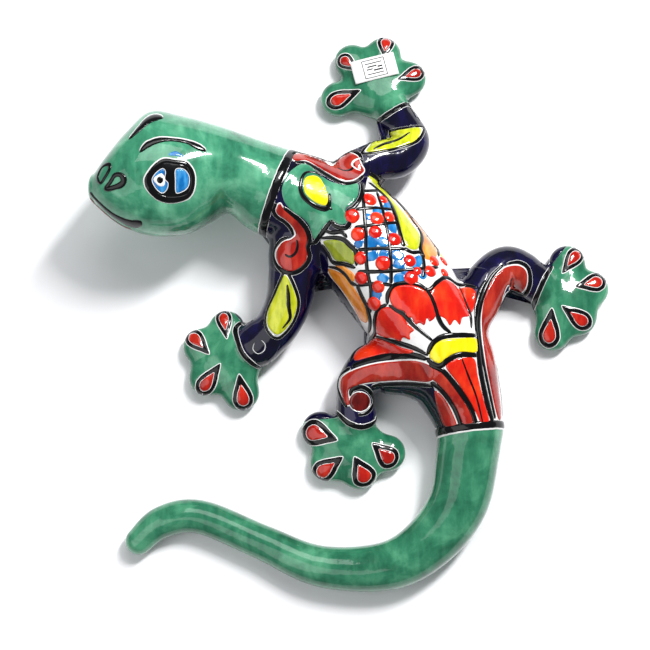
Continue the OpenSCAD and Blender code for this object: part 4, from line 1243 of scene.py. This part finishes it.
# Fan and lines towards the tail.
bordered(red, [(49.2, -31), (53.6, -27.5), (58, -26.5), (63.9, -27.1), (65.5, -36.4),
               (68.4, -49.2), (71, -59.7), (67.6, -61.2), (61.8, -49.6), (55.4, -39.7)],
         0, 0.42)
bordered(brick, [(42.8, -32), (46.6, -34.4), (52.6, -42), (57.6, -49.4), (61, -55.4),
               (62.4, -61.6), (58.4, -62), (54.6, -53.8), (49.8, -45.4), (43.4, -38.8),
               (39.6, -36.4)], 0, 0.4)
bordered(brick, [(43, -44), (46.6, -46.8), (50.8, -53.6), (53.8, -62.4), (48, -62.2),
                 (44.6, -54)], 0, 0.36)
stroke([(39.6, -29.9), (44, -31.8), (48.6, -34.6), (56.7, -44.9), (61.8, -53.3),
        (64.6, -62)], [1.6, 1.9, 2, 2, 1.9, 1.6])
stroke([(40.6, -39), (45.4, -42.6), (50.4, -48.6), (54, -54.9), (56.4, -62.6)],
       [1.6, 1.9, 1.9, 1.8, 1.5])
stroke([(57, -26), (60.6, -36), (64.6, -47), (67.8, -61)], [0.8, 1.2, 1.2, 0.9])
stroke([(70.8, 15.7), (66.9, 8.2), (65.3, -3.7), (66, -17.2), (67.2, -33.2), (70.2, -49.2),
        (73.2, -60.4)], [1.2, 1.8, 2.1, 2.3, 2.3, 2.3, 1.8])

# Hips: brick bands with a curl at their ends.
bordered(brick, [(-5.6, -36.6), (0.4, -32.9), (9.9, -29.9), (20, -28.4), (32.6, -27.9),
                 (41.4, -31), (43, -35.6), (39.4, -38.8), (26.2, -38), (10.3, -39),
                 (3.3, -40.2), (-0.2, -41.5), (-2.6, -43.6), (-2.6, -47), (-1.8, -50.8),
                 (-3.6, -51), (-5.6, -46.6), (-6.8, -41.4)], 0.5, 0.45)
BALL = [(3.3 + 5.6 * math.cos(a), -49.5 + 5.3 * math.sin(a))
        for a in np.linspace(0, 2 * math.pi, 9)[:-1]]
bordered(oxblood, BALL, 0.1, 0.55, grow=0)
stroke([(-1.6, -46.8), (-1, -43.6), (1.3, -42.2), (4.6, -41.6), (8.2, -43.6), (10.4, -47.5),
        (9.8, -52), (7, -55.4), (2, -56.6)],
       [0.9, 1.7, 1.9, 1.8, 1.7, 1.6, 1.5, 1.4, 1.1], 0.3)
stroke([(-0.8, -30.9), (8.6, -27.5), (16.3, -25.6), (25.2, -25), (33.2, -25.2),
        (39, -27)], [1.6, 2.4, 2.7, 2.6, 2.3, 1.6])
stroke([(42, -41.2), (36.2, -40.6), (26.2, -40), (14, -40.6), (9.4, -41.6)],
       [1.4, 1.9, 2, 2, 1.4], 0.3)
stroke([(-1.4, -31.6), (-6.6, -35.2), (-8.2, -41.6), (-6.4, -47.6), (-3.2, -52.6)],
       [1.6, 1.8, 1.8, 1.7, 1.2], 0.3)
bordered(brick, [(75.2, 17), (70.6, 8), (68.4, -2.4), (68.4, -12.5), (69.6, -24.9),
                 (71.4, -37.2), (75.6, -57.6), (77.4, -57.2), (76.2, -41.3), (75.1, -24.9),
                 (75.9, -12.5), (77.8, -0.1), (79.8, 8.2), (82.6, 13.4), (84.4, 10.4),
                 (86.4, 8), (90, 9.6), (92.4, 14.1), (92, 20.6), (88, 23.4),
                 (81.4, 22.4)], 0.5, 0.45)
stroke([(80.6, 24.4), (74, 17.8), (69.4, 8.2), (66.9, -2.2), (66.9, -12.5), (68.2, -24.9),
        (70.2, -37.2), (74.4, -58.6)], [1, 1.6, 1.7, 1.7, 1.7, 1.6, 1.6, 1.4], 0.3)
stroke([(79, -57.6), (77.6, -41.3), (76.5, -24.9), (77.3, -12.5), (79.2, -1),
        (81.6, 6.2), (83.6, 8), (86.4, 5.8), (91.4, 7.6), (94.2, 14), (93.4, 22),
        (88.3, 25.4), (81.8, 24.4)],
       [1.2, 1.5, 1.6, 1.7, 1.7, 1.6, 1.4, 1.5, 1.6, 1.7, 1.7, 1.5, 1], 0.3)
stroke([(83.2, 11.6), (84, 15.4), (85.4, 18)], [0.9, 1.5, 0.9], 0.3)

# Leaves on the front legs, and the fine loop below the elbow.
LEAF_RIGHT = [(7.4, 86.5), (12.1, 92.4), (19.9, 97), (29.5, 99.1), (36.4, 99.6),
              (36.4, 96.3), (33, 92.1), (25.6, 89.3), (15.9, 87.2)]
LEAF_LEFT = [(-36.2, 18.5), (-32.6, 12.5), (-30, 4), (-31.5, -4), (-36, -11),
             (-40.5, -13.6), (-45, -9), (-45, -1.5), (-41.5, 7), (-38.6, 13.8)]
for leaf, vein in ((LEAF_RIGHT, [(10.6, 87.2), (16.8, 90.4), (24.4, 92.8), (31.6, 97.4)]),
                   (LEAF_LEFT, [(-35, 14), (-34.4, 8), (-34.2, 1.4), (-33.6, -5),
                                (-38, -10.8)])):
    bordered(lime, leaf, 0.6, 0.45)
    stroke(vein, [0.9, 1.9, 2.1] + [1.6] * (len(vein) - 4) + [0.7], 0, 0.62)
    ring = np.array(leaf)
    middle = ring.mean(0)
    around = middle + (ring - middle) * 1.13
    stroke(around, 1.3, 0.3, 0.5, closed=True)
LOOP = [(-48.8, -16.6), (-46.6, -19), (-47.2, -22.4), (-50.4, -24), (-53, -21.6),
        (-52.2, -18)]
halo.line(LOOP, [0.3, 0.5, 0.6, 0.4, 0.5, 0.3], 0.3)

# Ankles: the legs' dark glaze ends in a line on the foot.
for cuff in (
        [(10, 99), (15.6, 104.4), (22, 108.8), (28, 112), (34.6, 113.4),
         (38.4, 106), (30, 100), (20, 95)],
        [(-54.6, -4.6), (-61, -10.4), (-60, -17.3), (-57.2, -23.4), (-52.2, -28.4),
         (-46.4, -33), (-40.6, -24), (-38.6, -14), (-47, -6)],
        [(-9.6, -52), (-5.2, -57.6), (-1.6, -60.2), (4, -61.8), (9.6, -60.2),
         (13.8, -55), (10, -46), (2, -44), (-7, -46)],
        [(106.8, 25.4), (101.8, 17.6), (98.4, 10.4), (95.2, 2.6), (95, -3), (88, 2),
         (88, 14), (96, 24)]):
    navy.field(cuff, 0.14)
for path, width in (
        ([(11.6, 101.6), (16.4, 105.4), (22.6, 109.6), (28.4, 112.8), (33.4, 113.6)],
         [1.4, 1.9, 2.1, 2, 1.4]),
        ([(-56.8, -6), (-62.1, -10.2), (-61, -17.3), (-58.2, -24.1), (-52.9, -29.4),
          (-47.6, -32.1)], [1.4, 2, 2.1, 2.1, 1.9, 1.4]),
        ([(-9.2, -54.5), (-5.6, -58.4), (-1.9, -61.2), (4, -62.9), (9.9, -61.2),
          (13.4, -57.2)], [1.4, 1.9, 2.1, 2.1, 1.9, 1.4]),
        ([(106.4, 23.6), (102.6, 17.6), (99.2, 10.4), (96, 2.6), (96.2, -1)],
         [1.4, 1.9, 2, 1.9, 1.4])):
    stroke(path, width, 0.5)

# Toe nails: a brick drop on a larger black drop, each with a fine white edge. Each nail is
# (pointed end towards the palm, round end towards the toe's tip, half width).
NAILS = {
    "front_right": [((4.5, 121.1), (-14.9, 112.2), 5.1), ((3, 132), (-7.9, 140.5), 4.5),
                    ((17.4, 139.3), (18.8, 152.3), 4.7), ((24.3, 127.1), (39.9, 132.2), 4.4)],
    "front_left": [((-66.9, -16.1), (-69.5, 0.5), 4.3), ((-76, -24.3), (-88.2, -11.6), 4.9),
                   ((-70.1, -29.2), (-81.8, -46.4), 5.1), ((-60.3, -34.7), (-56.9, -55.1), 5.4)],
    "hind_left": [((-8.3, -69.8), (-27.8, -63.7), 7), ((-5.5, -78.5), (-21.3, -90), 5.7),
                  ((0.4, -78.5), (8.3, -94.3), 6.4), ((9.7, -71.3), (22.7, -83.1), 6)],
    "hind_right": [((111.4, 19.3), (122.1, 33.4), 4.6), ((118.2, 12.2), (135.4, 15.7), 5.1),
                   ((110.7, 1.8), (126.6, -10.2), 5.2), ((105.6, 0.7), (102.9, -22), 5.7)],
}
DROP_PROFILE = ((0, 0), (0.26, 0.5), (0.52, 0.9), (0.74, 1), (0.92, 0.66))


def drop(point, tip, half_width, start, end, share):
    """Outline of a drop between two shares of its length, from its point to its round end."""
    point, tip = np.array(point), np.array(tip)
    along = tip - point
    side = np.array([-along[1], along[0]]) / np.linalg.norm(along) * half_width * share
    right = [point + along * (start + (end - start) * s) + side * w for s, w in DROP_PROFILE]
    left = [point + along * (start + (end - start) * s) - side * w
            for s, w in reversed(DROP_PROFILE[1:])]
    return right + [point + along * end] + left


def nail(layer, point, tip, half_width):
    outer = drop(point, tip, half_width, 0, 0.96, 1)
    inner = drop(point, tip, half_width, 0.26, 0.84, 0.6)
    halo.field(grown(outer, 0.35), 0.2)
    black.field(outer, 0.36)
    halo.field(grown(inner, 0.3), 0.44)
    layer.field(inner, 0.54)


nails = {name: Enamel(name + "_nails_brick", NAIL_RED, "brick_glaze", name + "_nails")
         for name in NAILS}
for name, drops in NAILS.items():
    for point, tip, half_width in drops:
        nail(nails[name], point, tip, half_width)

# Bands round the neck and the tail joints.
HOOP_SIDES = 96


def hoop(layer, station, direction, width, thick, shift):
    """A painted line all the way round a joint, shifted along the body."""
    d = np.array([*direction, 0])
    side = np.array([-direction[1], direction[0], 0])
    laid = []
    for a in np.linspace(0, 2 * math.pi, HOOP_SIDES + 1)[:-1]:
        out = side * math.cos(a) * station[3] + np.array([0, 0, 1]) * math.sin(a) * station[4]
        at, _ = surface.near(np.array(station[:3]) + out * 1.05 + d * shift)
        laid.append(surface.near(at))
    layer.ribbon(laid, np.full(HOOP_SIDES, width), thick, closed=True)


neck = Enamel("neck_line", BLACK, "black_line", "neck_band")
tail = Enamel("tail_line", BLACK, "black_line", "tail_band")
collar = Enamel("neck_collar_green", GREEN, "green_glaze", "neck_band")
hoop(collar, TORSO[0], NECK_DIR, 6.4, 0.1, 1.6)
hoop(neck, TORSO[0], NECK_DIR, 4.6, 0.6, 4.8)
hoop(halo, TORSO[0], NECK_DIR, 5.6, 0.3, 4.8)
hoop(tail, TAIL[0], TAIL_DIR, 4.2, 0.6, 0.8)
hoop(halo, TAIL[0], TAIL_DIR, 4.8, 0.3, 1.3)

# Paper label with an abstract mark and rules in place of printing.
label = Enamel("label_sheet", PAPER, "label_paper", "paper_label")
marks = Enamel("label_marks", BLACK, "black_line", "paper_label")
LABEL_SIZE = (24.0, 12.5)
LABEL_AT = (11.6, 128.8, 14.4)
LABEL_TURN = math.radians(14.5)
LABEL_LEAN = math.radians(2.0)
LABEL_CURL = 0.35                # how far its ends hang down


def label_point(a, b, lift=0.0):
    """Point of the label, a across and b up it."""
    x = a * math.cos(LABEL_TURN) - b * math.sin(LABEL_TURN)
    y = a * math.sin(LABEL_TURN) + b * math.cos(LABEL_TURN)
    curl = LABEL_CURL * (abs(a) / (LABEL_SIZE[0] / 2)) ** 3
    return np.array(LABEL_AT) + (x, y, b * math.sin(LABEL_LEAN) - curl + lift)


def label_patch(layer, low, high, lift, nx=16, ny=8, thick=0.18):
    """A thin rectangular sheet that follows the label's slight curl."""
    rows = [(low[0] + (high[0] - low[0]) * i / nx, low[1] + (high[1] - low[1]) * j / ny)
            for j in range(ny + 1) for i in range(nx + 1)]
    top = [label_point(a, b, lift) for a, b in rows]
    under = [label_point(a, b, lift - thick) for a, b in rows]
    m = len(rows)
    w = nx + 1
    faces = []
    for j in range(ny):
        for i in range(nx):
            a = j * w + i
            faces.append((a, a + 1, a + 1 + w, a + w))
            faces.append((m + a, m + a + w, m + a + 1 + w, m + a + 1))
    rim = (list(range(nx + 1)) + [j * w + nx for j in range(1, ny + 1)]
           + [ny * w + i for i in range(nx - 1, -1, -1)] + [j * w for j in range(ny - 1, 0, -1)])
    for k, a in enumerate(rim):
        b = rim[(k + 1) % len(rim)]
        faces.append((a, m + a, m + b, b))
    layer.add(top + under, faces)


half = (LABEL_SIZE[0] / 2, LABEL_SIZE[1] / 2)
label_patch(label, (-half[0], -half[1]), half, 0.0)
for low, high in (((-6.0, -5.0), (6.0, -4.6)), ((-6.0, 4.6), (6.0, 5.0)),
                  ((-6.2, -4.8), (-5.8, 4.8)), ((5.8, -4.8), (6.2, 4.8)),
                  ((-4.6, 2.6), (4.6, 3.1)), ((-4.6, -3.2), (4.6, -2.7)),
                  ((-4.4, -0.6), (-1.0, 0.0)), ((-3.6, 0.8), (1.4, 1.5)),
                  ((-0.6, -1.6), (4.4, -0.8)), ((1.8, 0.0), (4.4, 0.8))):
    label_patch(marks, low, high, 0.06, 6, 1, 0.1)

for layer in LAYERS:
    layer.build()

# -------------------------------------------------------------------------- floor and lights


FLOOR_HALF = 3.0       # half its width, in metres
FLOOR_DROP = 0.0003    # just under the figure


def make_floor():
    mesh = bpy.data.meshes.new("floor")
    s = FLOOR_HALF
    mesh.from_pydata([(-s, -s, 0), (s, -s, 0), (s, s, 0), (-s, s, 0)], [], [(0, 1, 2, 3)])
    floor = bpy.data.objects.new("floor", mesh)
    bpy.context.scene.collection.objects.link(floor)
    mesh.materials.append(FLOOR)
    floor.location = (0.0, 0.0, -FLOOR_DROP)


def area_light(name, at, power, wide, high):
    """A soft light that faces the middle of the figure."""
    data = bpy.data.lights.new(name, "AREA")
    data.energy = power
    data.shape = "RECTANGLE"
    data.size = wide
    data.size_y = high
    light = bpy.data.objects.new(name, data)
    bpy.context.scene.collection.objects.link(light)
    light.location = at
    aim = Vector((0.0, 0.0, 0.02)) - Vector(at)
    light.rotation_euler = aim.to_track_quat("-Z", "Y").to_euler()


make_floor()
area_light("window", (0.55, 0.65, 1.15), 22.0, 0.18, 0.5)
area_light("fill", (-0.9, -0.5, 1.3), 9.0, 1.4, 1.4)
area_light("top", (0.1, 0.9, 1.6), 8.0, 0.9, 0.9)
world = bpy.data.worlds.new("studio")
world.use_nodes = True
sky = world.node_tree.nodes["Background"].inputs
sky["Color"].default_value = (0.93, 0.95, 1.0, 1.0)
sky["Strength"].default_value = 0.21
bpy.context.scene.world = world
bpy.context.scene.view_settings.view_transform = "Standard"
